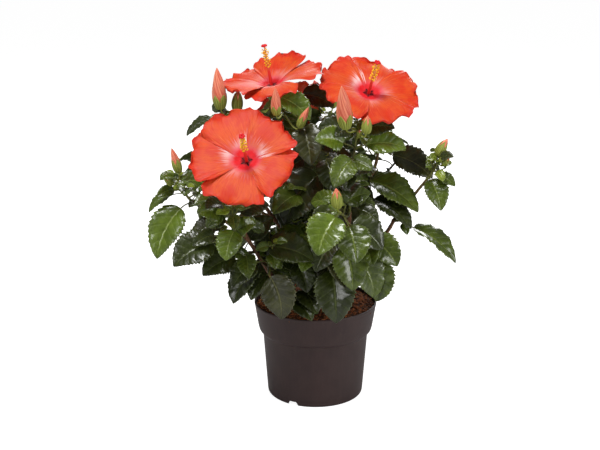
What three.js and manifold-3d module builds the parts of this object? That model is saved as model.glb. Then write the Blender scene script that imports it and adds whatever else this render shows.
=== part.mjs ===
// Potted hibiscus shrub: a round nursery pot filled with bark substrate, woody stems that fork
// into boughs, leafy shoots with buds on the bough tips, and four open flowers.
// Millimetres, +Z up. The origin is the centre of the pot's underside, and the side of the
// plant that is seen first faces -Y.

import * as THREE from 'three';
import { mergeVertices } from 'three/addons/utils/BufferGeometryUtils.js';
import Module from 'manifold-3d';

const wasm = await Module();
wasm.setup();
const { Manifold } = wasm;

// Driving dimensions

const GAP = 0.3; // between two pieces that touch on the real plant
const DETAIL = 0.22; // steps smaller than this are smoothed away where pieces are joined
const CLEARANCE = 0.5; // least distance of a leaf or bud from anything that it doesn't grow on

const POT = {
  height: 133, rimRadius: 85, bandFoot: 97, bandFootRadius: 79.7,
  neckHeight: 89, neckRadius: 73.2, baseRadius: 66.7, wall: 2, floor: 6,
  padRadius: 24, notches: 3, notchWidth: 17, notchHeight: 5.5, firstNotch: -118,
  drains: 6, drainRadius: 5, drainCircle: 46, segments: 30,
};
const SOIL = { top: 131, rimDrop: 3 };

const LIMB = { sides: 6, steps: 4, flare: 0.7, flareReach: 0.05 };
const SHOOT = { sides: 4, steps: 3, root: 2.1, tip: 1.3 };
const LEAF = {
  rows: [0.1, 0.4, 0.75], thickness: 1.3, widthRatio: 0.325, bend: 44, fold: 13,
  wave: 0.07, arch: 24, lightRise: 38, petioleThickness: 2.2, petioleRatio: 0.42,
  jointStep: 0.014, turnBack: -0.2, knee: 0.45,
};
const BUD = { sides: 5, stalkRadius: 1.0, stalkSteps: 2, widthRatio: 0.36, joint: 0.97, jointStep: 0.03 };
const PETAL = {
  reach: 62, base: 2.5, halfWidth: 35, throatDepth: 30, throatReach: 0.18,
  ruffle: 2.2, thickness: 1.2,
  rows: [0.2, 0.54, 0.82, 0.96], columns: [-1, 0, 1],
};
const COLUMN = {
  length: 48, cupFoot: 38, cupMouth: 17,
  profile: [2.2, 2.2, 2, 2, 4.5, 5.2, 3.4, 1.2, 4.2], // thickness in even steps up to the stigma
  cup: [1.6, 1.6, 1.6, 1.7, 1.7, 1.8, 4.6, 7.6, 8.4], // and along the stalk to the cup's mouth
};

// Where the limbs go: each is one tapering curve through a point midway to its tip. A stem
// has a foot on the substrate, and a bough grows on another limb, some way along it.
const LIMBS = [
  { name: 'stem_left', foot: [-37, -26], by: [-62, -56, 190], tip: [-91, -88, 249], r: [3.5, 2.5] },
  { name: 'stem_main', foot: [7, 4], by: [10, 2, 160], tip: [10, -2, 196], r: [6.2, 4.9] },
  { name: 'stem_back', foot: [-10, 36], by: [-16, 52, 186], tip: [-20, 62, 236], r: [4.2, 3.1] },
  { name: 'bough_far_left', on: 'stem_left', at: 0.97, by: [-122, -72, 268], tip: [-154, -52, 282], r: [2.2, 1.7] },
  { name: 'bough_front_left', on: 'stem_left', at: 1, by: [-95, -90, 270], tip: [-96, -86, 296], r: [2.3, 1.8] },
  { name: 'bough_top_left', on: 'stem_main', at: 0.9, by: [-62, -18, 262], tip: [-114, -30, 380], r: [3.4, 1.9] },
  { name: 'bough_top', on: 'stem_main', at: 0.98, by: [-47, 0, 284], tip: [-62, 4, 372], r: [3.6, 2.2] },
  { name: 'bough_centre_right', on: 'stem_main', at: 0.94, by: [36, -44, 232], tip: [43, -60, 276], r: [3.5, 2.5] },
  { name: 'bough_low_right', on: 'stem_main', at: 0.7, by: [72, -22, 213], tip: [104, -30, 256], r: [3.4, 2.4] },
  { name: 'bough_right', on: 'bough_low_right', at: 0.98, by: [124, -27, 281], tip: [147, -21, 309], r: [2.3, 1.8] },
  { name: 'bough_mid_right', on: 'stem_main', at: 0.99, by: [44, 8, 244], tip: [68, 10, 294], r: [3.5, 2.6] },
  { name: 'bough_top_right', on: 'bough_mid_right', at: 0.99, by: [79, 10, 316], tip: [84, 8, 342], r: [2.5, 2.0] },
  { name: 'bough_back_left', on: 'stem_back', at: 0.97, by: [-54, 78, 262], tip: [-80, 86, 292], r: [2.7, 1.9] },
  { name: 'bough_back_top', on: 'stem_back', at: 0.99, by: [-20, 72, 280], tip: [-16, 72, 326], r: [2.8, 2.0] },
  { name: 'bough_back_right', on: 'stem_back', at: 0.93, by: [24, 76, 256], tip: [62, 84, 290], r: [2.7, 1.9] },
  { name: 'bough_side_left', on: 'stem_back', at: 0.85, by: [-70, 52, 242], tip: [-116, 38, 276], r: [2.5, 1.8] },
];

// Open flowers: the middle of the funnel's mouth, which way the flower faces, and for each
// petal its turn round the flower, how far it hangs back and its size
const BLOOMS = [
  { name: 'bloom_front', on: 'bough_front_left', mouth: [-89.3, -120, 357.9], heading: -95, rise: 45, lap: 6,
    petals: [[111, -9, 1.04], [45, -5, 1], [-25, 6, 1], [-110, 8, 1], [178, 1, 1.03]] },
  { name: 'bloom_top', on: 'bough_top', mouth: [-60.8, -10, 444], heading: -138, rise: 77, lap: -3,
    petals: [[16, -3, 1], [86, -12, 0.98], [150, 2, 0.92], [206, -4, 0.98], [268, 9, 0.94]] },
  { name: 'bloom_right', on: 'bough_top_right', mouth: [69.5, -30, 434], heading: -75, rise: 54, lap: 6,
    petals: [[6, 2, 1], [78, 9, 0.96], [150, 5, 1], [222, -2, 0.96], [-64, 0, 0.98]] },
  { name: 'bloom_back', on: 'bough_back_top', mouth: [-38.5, 84, 391], heading: 120, rise: 40, lap: 6,
    petals: [[20, 6, 0.86], [92, 8, 0.9], [164, 4, 0.86], [236, 10, 0.9], [308, 8, 0.88]] },
];

// Masses of foliage, each on one shoot. Its blades turn to the light from one side, face.
// leaves holds those that stand out, each as the foot of its blade, then heading, pitch,
// length and, for some, how steeply the upper side faces. buds holds flower buds, each as its
// place from the shoot's tip, then heading, rise and length. The seeded rule adds as many
// leaves as fill says, of about this size.
const MASSES = [
  { name: 'leaves_far_left', on: 'bough_far_left', by: [-168, -51, 292], tip: [-180, -50, 314], face: -100,
    leaves: [[-177, -60, 280, -147, -60, 75], [-191, -50, 295, -160, -35, 37, 70], [-186, -55, 303, -144, -13, 27],
      [-178, -45, 312, 22, -13, 42], [-154, -56, 284, -156, 3, 25]],
    buds: [[1, 0, 11, 180, 75, 34], [-7, -8, -3, 205, 50, 19]], fill: 1, size: 34 },
  { name: 'leaves_left_low', on: 'stem_left', by: [-104, -103, 270], tip: [-112, -109, 290], face: -95,
    leaves: [[-104, -124, 267, -121, -61, 40], [-120, -112, 287, -148, 6, 35], [-102, -118, 265, -15, 23, 30],
      [-96, -100, 283, 19, 13, 39], [-137, -70, 294, -152, -11, 24]],
    buds: [], fill: 2, size: 40 },
  { name: 'leaves_left_under', on: 'stem_left', at: 0.8, by: [-102, -82, 228], tip: [-118, -84, 244], face: -100,
    leaves: [[-133, -95, 244, -158, -27, 61], [-105, -85, 220, -160, -24, 50], [-130, -75, 261, -163, -26, 38],
      [-87, -75, 241, 26, 37, 44]],
    buds: [], fill: 2, size: 50 },
  { name: 'leaves_front_left', on: 'stem_left', at: 0.5, by: [-62, -76, 206], tip: [-60, -82, 232], face: -90,
    leaves: [[-60, -100, 199, -23, -75, 60], [-75, -70, 208, -143, -49, 65, 78], [-63, -90, 236, -5, -17, 64],
      [-64, -90, 198, -151, -38, 40, 66], [-64, -60, 248, -128, -69, 40]],
    buds: [], fill: 2, size: 50 },
  { name: 'leaves_front_low', on: 'stem_main', at: 0.5, by: [6, -36, 192], tip: [2, -62, 220], face: -90,
    leaves: [[20, -85, 203, -77, -70, 71], [-35, -58, 157, -47, -28, 50], [-25, -70, 210, -52, -62, 44],
      [12, -65, 208, -57, -71, 42], [-18, -50, 164, -61, -44, 46], [-45, -25, 198, -64, -46, 44],
      [-4, -38, 178, -84, -43, 42]],
    buds: [], fill: 2, size: 52 },
  { name: 'leaves_right_low', on: 'stem_main', at: 0.85, by: [40, -50, 212], tip: [60, -76, 244], face: -80,
    leaves: [[36, -95, 238, -59, -70, 59], [53, -95, 223, -59, -69, 60], [75, -80, 213, -41, -70, 55],
      [72, -85, 244, -19, -44, 48], [76, -80, 219, -19, -33, 42], [25, -80, 242, -150, -52, 50]],
    buds: [], fill: 3, size: 56 },
  { name: 'leaves_front_middle', on: 'bough_centre_right', by: [38, -88, 276], tip: [30, -106, 286], face: -90,
    leaves: [[23, -125, 286, -134, -54, 56], [40, -115, 270, -70, -57, 50], [44, -110, 270, -23, -40, 52]],
    buds: [[-5, -19, 11, 250, 78, 27]], fill: 1, size: 44 },
  { name: 'leaves_centre_right', on: 'bough_centre_right', by: [46, -60, 330], tip: [52, -58, 380], face: -80,
    leaves: [[44, -88, 350, -134, -43, 46], [12, -45, 341, -71, -54, 50], [63, -65, 365, 6, -7, 54],
      [34, -75, 369, -152, 9, 44], [30, -40, 388, -154, -13, 36], [37, -85, 293, 9, 20, 36],
      [53, -85, 285, -23, -27, 32], [45, -80, 347, -31, -19, 31], [44, -85, 334, -117, -56, 27]],
    buds: [[-16, -32, 11, 249, 72, 58], [9, -36, 5, 290, 78, 24], [2, -8, -4, 280, 70, 10]], fill: 2, size: 44 },
  { name: 'leaves_middle', on: 'stem_main', by: [4, -20, 244], tip: [-2, -20, 300], face: -100,
    leaves: [[2, -32, 318, -158, -54, 80], [-8, -26, 232, -132, -72, 68], [-14, -14, 296, -150, -64, 68],
      [-42, -24, 246, -147, -60, 58], [8, -12, 214, -127, -59, 45], [-70, -16, 202, -67, -55, 40]],
    buds: [], fill: 5, size: 64 },
  { name: 'leaves_middle_high', on: 'stem_main', at: 0.9, by: [14, 22, 262], tip: [16, 12, 334], face: -92,
    leaves: [[-27, 12, 298, -170, -63, 66], [20, 10, 288, -26, -69, 67], [8, 18, 341, -26, -56, 64],
      [-18, 26, 327, -160, -58, 58], [-14, 30, 271, -20, -54, 74]],
    buds: [], fill: 6, size: 60 },
  { name: 'leaves_mid_right', on: 'bough_mid_right', by: [72, -4, 300], tip: [82, -18, 322], face: -75,
    leaves: [[72, -24, 308, -18, -30, 78, 62], [77, -30, 285, -27, -47, 66, 66], [106, 0, 287, -11, -31, 33]],
    buds: [], fill: 2, size: 44 },
  { name: 'leaves_right_under', on: 'bough_low_right', by: [112, -38, 258], tip: [122, -42, 264], face: -80,
    leaves: [[131, -25, 244, -15, -38, 76, 74]], buds: [], fill: 2, size: 38 },
  { name: 'leaves_far_right', on: 'bough_right', by: [155, -20, 320], tip: [160, -19, 332], face: -80,
    leaves: [[151, -25, 310, -56, -57, 46], [162, -25, 315, -16, -43, 27]],
    buds: [[1, 4, 9, 0, 60, 26], [9, -1, -4, 340, 62, 16], [4, -3, 2, 320, 60, 8]], fill: 1, size: 30 },
  { name: 'leaves_top_right', on: 'bough_top_right', by: [88, -2, 352], tip: [88, -14, 366], face: -75,
    leaves: [[104, 10, 336, -11, -29, 64]], buds: [], fill: 3, size: 44 },
  { name: 'leaves_top_centre', on: 'bough_top', by: [-52, -28, 386], tip: [-44, -44, 402], face: -90,
    leaves: [[-18, -55, 388, -68, -60, 56], [-47, -50, 424, -34, -23, 50], [-18, -10, 421, 0, -21, 45],
      [-34, -55, 411, -119, -47, 36], [-63, -40, 418, -130, -43, 30]],
    buds: [[-7, -41, 5, 265, 74, 37], [21, -24, -14, 340, 64, 30]], fill: 1, size: 40 },
  { name: 'leaves_top_left', on: 'bough_top_left', by: [-115, -33, 388], tip: [-117, -37, 396], face: -110,
    leaves: [[-132, -30, 392, -157, -26, 45]],
    buds: [[-7, -3, 11, 231, 84, 54], [13, 12, 6, 0, 86, 25]], fill: 2, size: 34 },
  { name: 'leaves_low_back_left', on: 'stem_back', at: 0.55, by: [-54, 70, 204], tip: [-82, 84, 240], face: 130,
    leaves: [], buds: [], fill: 8, size: 62 },
  { name: 'leaves_low_back_right', on: 'stem_back', at: 0.6, by: [24, 80, 206], tip: [52, 96, 240], face: 65,
    leaves: [], buds: [], fill: 8, size: 62 },
  { name: 'leaves_back_left', on: 'bough_back_left', by: [-94, 92, 312], tip: [-104, 92, 340], face: 120,
    leaves: [], buds: [[-2, 6, 16, 120, 78, 42]], fill: 8, size: 58 },
  { name: 'leaves_back_right', on: 'bough_back_right', by: [80, 88, 310], tip: [92, 86, 342], face: 60,
    leaves: [], buds: [[3, 5, 16, 60, 76, 46]], fill: 8, size: 58 },
  { name: 'leaves_back_top', on: 'bough_back_top', by: [6, 78, 348], tip: [20, 72, 378], face: 80,
    leaves: [], buds: [[4, 3, 12, 30, 80, 32]], fill: 8, size: 54 },
  { name: 'leaves_back_middle', on: 'stem_back', by: [-21, 86, 262], tip: [-24, 110, 292], face: 95,
    leaves: [], buds: [], fill: 8, size: 60 },
  { name: 'leaves_side_left', on: 'bough_side_left', by: [-132, 36, 292], tip: [-142, 36, 314], face: 180,
    leaves: [], buds: [[-3, 2, 12, 170, 74, 28]], fill: 8, size: 52 },
  { name: 'leaves_side_right', on: 'bough_mid_right', by: [88, 26, 300], tip: [112, 38, 322], face: 10,
    leaves: [], buds: [], fill: 8, size: 54 },
  { name: 'leaves_low_side_right', on: 'stem_main', at: 0.6, by: [38, 28, 206], tip: [72, 44, 238], face: 0,
    leaves: [], buds: [], fill: 7, size: 60 },
];

// Colours of the pieces
const PAINT = {
  pot: { color: 0x3e3432, roughness: 0.62 },
  substrate: { color: 0x6e3719, roughness: 0.95 },
  bark: { color: 0x6b4c36, roughness: 0.8 },
  foliage: { color: 0x35521f, roughness: 0.35 },
  petal: { color: 0xf0553c, roughness: 0.55 },
};

// Small helpers

const vec = (xyz) => new THREE.Vector3(...xyz);
const rad = THREE.MathUtils.degToRad;
const lerp = THREE.MathUtils.lerp;
const flat = (heading) => new THREE.Vector3(Math.cos(rad(heading)), Math.sin(rad(heading)), 0);

// The direction with this compass heading and this rise above the horizon, in degrees
function direction(heading, rise) {
  return flat(heading).multiplyScalar(Math.cos(rad(rise))).setZ(Math.sin(rad(rise)));
}

// Repeatable random numbers from 0 to 1
function randomFrom(seed) {
  let state = seed;
  return () => {
    state = (Math.imul(state, 1664525) + 1013904223) >>> 0;
    return state / 4294967296;
  };
}

// The value at t of a quantity that is known in even steps from 0 to 1
const steps = (values) => (t) => {
  const place = t * (values.length - 1);
  const low = Math.min(Math.floor(place), values.length - 2);
  return lerp(values[low], values[low + 1], place - low);
};

function solidFrom(geometry) {
  geometry.deleteAttribute('normal');
  geometry.deleteAttribute('uv');
  const merged = mergeVertices(geometry, 1e-4);
  return new Manifold(new wasm.Mesh({
    numProp: 3,
    vertProperties: new Float32Array(merged.attributes.position.array),
    triVerts: new Uint32Array(merged.index.array),
  }));
}

function solidFromFaces(points, faces) {
  const geometry = new THREE.BufferGeometry();
  geometry.setAttribute('position', new THREE.Float32BufferAttribute(points.flatMap((p) => p.toArray()), 3));
  geometry.setIndex(faces.flat());
  return solidFrom(geometry);
}

// The largest single body of a solid: loose scraps and sealed hollows are left behind
function mainBody(solid) {
  const bodies = solid.simplify(DETAIL).decompose();
  return bodies.reduce((best, body) => (body.volume() > best.volume() ? body : best), bodies[0]);
}

function meshFrom(name, solid, paint) {
  const { vertProperties, triVerts } = solid.getMesh();
  const geometry = new THREE.BufferGeometry();
  geometry.setAttribute('position', new THREE.BufferAttribute(vertProperties, 3));
  geometry.setIndex(new THREE.BufferAttribute(triVerts, 1));
  geometry.computeVertexNormals();
  const mesh = new THREE.Mesh(geometry, new THREE.MeshStandardMaterial({ ...paint, metalness: 0 }));
  mesh.name = name;
  return mesh;
}

// A solid of revolution about Z from a profile of [radius, height] pairs
function turned(profile, segments) {
  const geometry = new THREE.LatheGeometry(profile.map(([r, z]) => new THREE.Vector2(r, z)), segments);
  geometry.rotateX(Math.PI / 2);
  return solidFrom(geometry);
}

// The curve through a point midway between its two ends
function curveThrough(start, by, tip) {
  const control = by.clone().multiplyScalar(2).addScaledVector(start, -0.5).addScaledVector(tip, -0.5);
  return new THREE.QuadraticBezierCurve3(start, control, tip);
}

// A closed round bar along a curve, its radius a function of the way along, reaching this far
// past the ends of the curve
function bar(curve, radius, sides, steps, past = 0) {
  const chord = curve.getPoint(1).sub(curve.getPoint(0)).normalize();
  const reference = Math.abs(chord.y) < 0.7 ? new THREE.Vector3(0, 1, 0) : new THREE.Vector3(1, 0, 0);
  const points = [];
  const faces = [];
  for (let i = 0; i <= steps; i += 1) {
    const t = i / steps;
    const tangent = curve.getTangent(t);
    const across = reference.clone().cross(tangent).normalize();
    const up = tangent.clone().cross(across);
    const centre = curve.getPoint(t).addScaledVector(tangent, past * ((i === steps) - (i === 0)));
    for (let j = 0; j < sides; j += 1) {
      const turn = (2 * Math.PI * j) / sides;
      points.push(centre.clone()
        .addScaledVector(across, radius(t) * Math.cos(turn)).addScaledVector(up, radius(t) * Math.sin(turn)));
    }
  }
  for (let i = 0; i < steps; i += 1) {
    for (let j = 0; j < sides; j += 1) {
      const k = (j + 1) % sides;
      const [a, b, c, d] = [i * sides + j, i * sides + k, (i + 1) * sides + k, (i + 1) * sides + j];
      faces.push([a, b, c], [a, c, d]);
    }
  }
  for (let j = 1; j < sides - 1; j += 1) {
    faces.push([0, j + 1, j], [steps * sides, steps * sides + j, steps * sides + j + 1]);
  }
  return solidFromFaces(points, faces);
}

// A thin closed body round a curved surface: each row runs from margin to margin, the margins
// are sharp, and the two ends are single points
function thinBody(surface, rows, columns, thickness) {
  const points = [surface(0, 0)];
  const upper = [];
  const lower = [];
  const step = 0.01;
  for (const u of rows) {
    const above = [];
    const below = [];
    for (const v of columns) {
      const point = surface(u, v);
      if (Math.abs(v) === 1) {
        above.push(points.push(point) - 1);
        below.push(points.length - 1);
      } else {
        const along = surface(u + step, v).sub(surface(u - step, v));
        const across = surface(u, v + step).sub(surface(u, v - step));
        const normal = along.cross(across).normalize().multiplyScalar(thickness / 2);
        above.push(points.push(point.clone().add(normal)) - 1);
        below.push(points.push(point.clone().sub(normal)) - 1);
      }
    }
    upper.push(above);
    lower.push(below);
  }
  const tip = points.push(surface(1, 0)) - 1;
  const faces = [];
  const sheet = (grid, flip) => {
    const add = (a, b, c) => faces.push(flip ? [a, c, b] : [a, b, c]);
    for (let j = 0; j < columns.length - 1; j += 1) {
      add(0, grid[0][j], grid[0][j + 1]);
      for (let i = 0; i < rows.length - 1; i += 1) {
        add(grid[i][j], grid[i + 1][j], grid[i + 1][j + 1]);
        add(grid[i][j], grid[i + 1][j + 1], grid[i][j + 1]);
      }
      add(tip, grid[rows.length - 1][j + 1], grid[rows.length - 1][j]);
    }
  };
  sheet(upper, false);
  sheet(lower, true);
  return solidFromFaces(points, faces);
}

// Pot: one thin moulded wall with a deep rim band, a raised floor round a flat centre pad, and
// a skirt with foot notches

function pot() {
  const { height, rimRadius, bandFoot, bandFootRadius, neckHeight, neckRadius, baseRadius, wall, floor } = POT;
  const outside = [
    [0, 0], [POT.padRadius, 0], [POT.padRadius + 3, floor], [baseRadius - wall, floor],
    [baseRadius - wall - 0.2, 0], [baseRadius - 1.2, 0], [baseRadius, 1.6],
    [neckRadius, neckHeight], [bandFootRadius - 1.2, bandFoot - 3.6], [bandFootRadius, bandFoot],
    [rimRadius, height - 1], [rimRadius - 0.5, height],
  ];
  const inside = [
    [rimRadius - wall - 0.2, height], [bandFootRadius - wall, bandFoot + 0.6], [neckRadius - wall, neckHeight + 1],
    [baseRadius - wall + 0.5, floor + wall], [POT.padRadius + 1.4, floor + wall], [POT.padRadius - 1.4, wall], [0, wall],
  ];
  const notch = new THREE.BoxGeometry(10, POT.notchWidth, POT.notchHeight + 1);
  notch.translate(baseRadius - 1, 0, POT.notchHeight / 2 - 0.5);
  const drain = new THREE.CylinderGeometry(POT.drainRadius, POT.drainRadius, 10, 8).rotateX(Math.PI / 2);
  drain.translate(POT.drainCircle, 0, floor);
  const cuts = [];
  for (let i = 0; i < POT.notches; i += 1) {
    cuts.push(solidFrom(notch.clone().rotateZ(rad(POT.firstNotch + (360 * i) / POT.notches))));
  }
  for (let i = 0; i < POT.drains; i += 1) {
    cuts.push(solidFrom(drain.clone().rotateZ((2 * Math.PI * (i + 0.5)) / POT.drains)));
  }
  return turned([...outside, ...inside], POT.segments).subtract(Manifold.union(cuts));
}

// Substrate: the bark mix that fills the pot, seated on its floor and wall
function substrate() {
  const { rimRadius, bandFoot, bandFootRadius, neckHeight, neckRadius, baseRadius, wall, floor, height } = POT;
  const inset = wall + GAP + 0.1;
  const lowRim = SOIL.top - SOIL.rimDrop;
  const slope = (rimRadius - bandFootRadius) / (height - bandFoot);
  return turned([
    [0, floor + wall + GAP], [baseRadius - inset + 0.5, floor + wall + GAP], [neckRadius - inset, neckHeight + 1.2],
    [bandFootRadius - inset, bandFoot + 1], [bandFootRadius - inset + slope * (lowRim - bandFoot - 1), lowRim],
    [rimRadius - 16, SOIL.top], [0, SOIL.top],
  ], POT.segments);
}

// What has been placed: bodies for the clearance test, and fatter bars that a joint is cut by
const placed = [];
const carriers = new Map();

function place(owner, kind, solid) {
  placed.push({ owner, kind, solid, box: solid.boundingBox() });
}

function near(a, b, reach) {
  return [0, 1, 2].every((k) => a.min[k] - reach <= b.max[k] && b.min[k] - reach <= a.max[k]);
}

// A wood bar cut back from every bar that is already there, so a fork meets with a thin gap
function grow(name, curve, radius, sides, steps) {
  let solid = bar(curve, radius, sides, steps);
  for (const other of carriers.values()) {
    if (near(solid.boundingBox(), other.fat.boundingBox(), 0)) solid = solid.subtract(other.fat);
  }
  carriers.set(name, { curve, fat: bar(curve, (t) => radius(t) + GAP, sides, steps, GAP) });
  return mainBody(solid);
}

function limb({ name, on, at, foot, by, tip, r }) {
  const start = foot ? vec([...foot, SOIL.top + GAP]) : carriers.get(on).curve.getPoint(at);
  const flare = foot ? LIMB.flare : 0;
  const radius = (t) => lerp(r[0], r[1], t) * (1 + flare * Math.exp(-t / LIMB.flareReach));
  let solid = grow(name, curveThrough(start, vec(by), vec(tip)), radius, LIMB.sides, LIMB.steps);
  if (foot) solid = solid.trimByPlane([0, 0, 1], SOIL.top + GAP);
  place(name, 'wood', solid);
  return solid;
}

// Flower: petals on a funnel that opens out flat, lapped like tiles round a long column with
// its sheath of anthers and five-part stigma, in a green cup on a stalk

function petalSurface(bloom, [turn, hang, size]) {
  const axis = direction(bloom.heading, bloom.rise);
  const right = new THREE.Vector3(1, 0, 0).addScaledVector(axis, -axis.x).normalize();
  const upward = axis.clone().cross(right);
  const out = right.multiplyScalar(Math.cos(rad(turn))).addScaledVector(upward, Math.sin(rad(turn)));
  const side = axis.clone().cross(out);
  const fullest = 0.73;
  return (u, v) => {
    const end = Math.min(u, 1);
    const radius = PETAL.base + PETAL.reach * size * end;
    const across = (v * size * PETAL.halfWidth * end ** 0.75 * Math.sqrt(Math.max(0, 1 - end ** 6))) / fullest;
    const spread = (Math.hypot(radius, across) - PETAL.base) / PETAL.reach;
    const height = -PETAL.throatDepth * Math.exp(-spread / PETAL.throatReach) - hang * end ** 2
      + bloom.lap * v * end + PETAL.ruffle * end ** 3 * Math.sin(5.2 * v + turn);
    return vec(bloom.mouth).addScaledVector(out, radius).addScaledVector(side, across).addScaledVector(axis, height);
  };
}

function flower(bloom) {
  const axis = direction(bloom.heading, bloom.rise);
  const along = (distance) => vec(bloom.mouth).addScaledVector(axis, distance);
  const petals = bloom.petals.map((petal) => (
    thinBody(petalSurface(bloom, petal), PETAL.rows, PETAL.columns, PETAL.thickness)));
  const column = bar(new THREE.LineCurve3(along(-PETAL.throatDepth), along(COLUMN.length)), steps(COLUMN.profile), 5, 8);
  const foot = carriers.get(bloom.on).curve.getPoint(1);
  const stalk = new THREE.QuadraticBezierCurve3(foot, along(-COLUMN.cupFoot - 22), along(-COLUMN.cupMouth));
  const stem = grow(bloom.name, stalk, steps(COLUMN.cup), 6, 8);
  place(bloom.name, 'wood', stem);
  for (const part of [column, ...petals]) place(bloom.name, 'bloom', part);
  return mainBody(Manifold.union([stem, column, ...petals]));
}

// Leaf: a petiole that arches up from the shoot, and a pointed oval blade that bends down
// along its length and turns its upper face to the light

function bladeOutline(s) {
  return 2.65 * Math.sqrt(s) * (1 - s) ** 1.05;
}

// The blade's midrib, its sideways direction and its upper side, at this part of its length
function bladeFrame({ base, heading, pitch, length, light }, s) {
  const start = rad(pitch + LEAF.bend / 2);
  const bend = rad(LEAF.bend);
  const now = start - bend * s;
  const midrib = base.clone()
    .addScaledVector(flat(heading), (length * (Math.sin(start) - Math.sin(now))) / bend)
    .add(new THREE.Vector3(0, 0, (length * (Math.cos(now) - Math.cos(start))) / bend));
  const ahead = direction(heading, THREE.MathUtils.radToDeg(now));
  const lift = light.clone().addScaledVector(ahead, -light.dot(ahead)).normalize();
  return { midrib, ahead, lift, side: lift.clone().cross(ahead) };
}

// The petiole's frames, from its foot to where it runs on into the blade, each mitred between
// the stretches that meet there. One that has to turn back has a knee behind the blade.
function petioleFrames({ foot, base }, { ahead, side }) {
  const path = [foot, base];
  const reach = foot.distanceTo(base);
  if (base.clone().sub(foot).dot(ahead) < LEAF.turnBack * reach) {
    path.splice(1, 0, foot.clone().lerp(base, 0.5).addScaledVector(ahead, -LEAF.knee * reach));
  }
  const leads = path.slice(1).map((point, i) => point.clone().sub(path[i]).normalize());
  leads.push(ahead);
  const frames = [];
  let across = side;
  for (let i = path.length - 1; i >= 0; i -= 1) {
    const lead = leads[i].clone().add(leads[Math.max(i - 1, 0)]).normalize();
    across = across.clone().addScaledVector(lead, -across.dot(lead)).normalize();
    frames.unshift({ midrib: path[i], side: across, lift: lead.clone().cross(across) });
  }
  return frames;
}

// A leaf as a row of four-cornered sections: left margin, upper side, right margin, underside
function leafSections(leaf) {
  const section = ({ midrib, lift, side }, width, rise, thickness) => [
    midrib.clone().addScaledVector(side, width).addScaledVector(lift, rise[0]),
    midrib.clone().addScaledVector(lift, thickness / 2),
    midrib.clone().addScaledVector(side, -width).addScaledVector(lift, rise[1]),
    midrib.clone().addScaledVector(lift, -thickness / 2),
  ];
  const thick = LEAF.petioleThickness;
  const petiole = petioleFrames(leaf, bladeFrame(leaf, 0)).map((frame) => section(frame, thick / 2, [0, 0], thick));
  const blade = LEAF.rows.map((s) => {
    const width = leaf.length * LEAF.widthRatio * bladeOutline(s);
    const rise = [1, -1].map((w) => width * (Math.sin(rad(LEAF.fold)) + LEAF.wave * Math.sin(9 * s + 2 * w + leaf.length)));
    return section(bladeFrame(leaf, s), width * Math.cos(rad(LEAF.fold)), rise, LEAF.thickness);
  });
  const tip = section(bladeFrame(leaf, 1), 0.4, [0, 0], 0.5);
  return { petiole, blade: [...blade, tip] };
}

// A closed body through four-cornered sections. Where a stretch is twisted, its upper side and
// its underside are split along the same diagonal, so they never pass through each other.
function loft(sections) {
  const faces = [[0, 2, 1], [0, 3, 2]];
  for (let i = 0; i < sections.length - 1; i += 1) {
    for (let j = 0; j < 4; j += 1) {
      const [a, b] = [4 * i + j, 4 * i + ((j + 1) % 4)];
      if (j < 2) faces.push([a, b, b + 4], [a, b + 4, a + 4]);
      else faces.push([a, b, a + 4], [b, b + 4, a + 4]);
    }
  }
  const last = 4 * (sections.length - 1);
  faces.push([last, last + 1, last + 2], [last, last + 2, last + 3]);
  return solidFromFaces(sections.flat(), faces);
}

function leafBodies(leaf) {
  const { petiole, blade } = leafSections(leaf);
  return { petiole: loft(petiole), blade: loft([petiole.at(-1), ...blade]), whole: loft([...petiole, ...blade]) };
}

// A leaf fits where its blade clears everything, and its petiole all but what it grows on
function fits(owner, { blade, petiole }) {
  const clear = (solid, skip) => {
    const box = solid.boundingBox();
    return placed.every((other) => skip(other) || !near(box, other.box, CLEARANCE)
      || solid.minGap(other.solid, CLEARANCE) >= CLEARANCE * 0.99);
  };
  return clear(blade, (other) => other.owner === owner && other.kind === 'petiole')
    && clear(petiole, (other) => other.owner === owner && other.kind !== 'blade' && other.kind !== 'bud');
}

// The turns and tilts in degrees that a leaf tries, in this order, until it fits
const TRIES = [0, 12, -12, 24, -24, 40, -40, 60, -60].flatMap((turn) => [0, 14, -14].map((tilt) => [turn, tilt]));

function tryLeaf(mass, leaf) {
  for (const [turn, tilt] of TRIES) {
    const bodies = leafBodies({ ...leaf, heading: leaf.heading + turn, pitch: leaf.pitch + tilt });
    if (fits(mass.name, bodies)) {
      place(mass.name, 'petiole', bodies.petiole);
      place(mass.name, 'blade', bodies.blade);
      mass.parts.push(bodies.whole);
      mass.count += 1;
      return;
    }
  }
  mass.missed += 1;
}

function lightOn(mass, random, rise = LEAF.lightRise) {
  return direction(mass.face + 50 * (random() - 0.5), rise + 24 * (random() - 0.5));
}

// The leaves that stand out, each from its own joint on the nearest stretch of the shoot
function statedLeaves(mass) {
  const random = randomFrom(mass.seed + 500);
  return mass.leaves.map(([x, y, z, heading, pitch, length, rise], index) => {
    const base = vec([x, y, z]);
    const ways = Array.from({ length: 9 }, (_, i) => i / 8);
    const nearest = ways.reduce((best, t) => (
      mass.curve.getPoint(t).distanceTo(base) < mass.curve.getPoint(best).distanceTo(base) ? t : best), 0);
    const at = Math.max(0.26, nearest - 0.14) + LEAF.jointStep * index;
    return { foot: mass.curve.getPoint(at), lead: mass.curve.getTangent(at), base, heading, pitch, length,
      light: lightOn(mass, random, rise) };
  });
}

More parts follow.
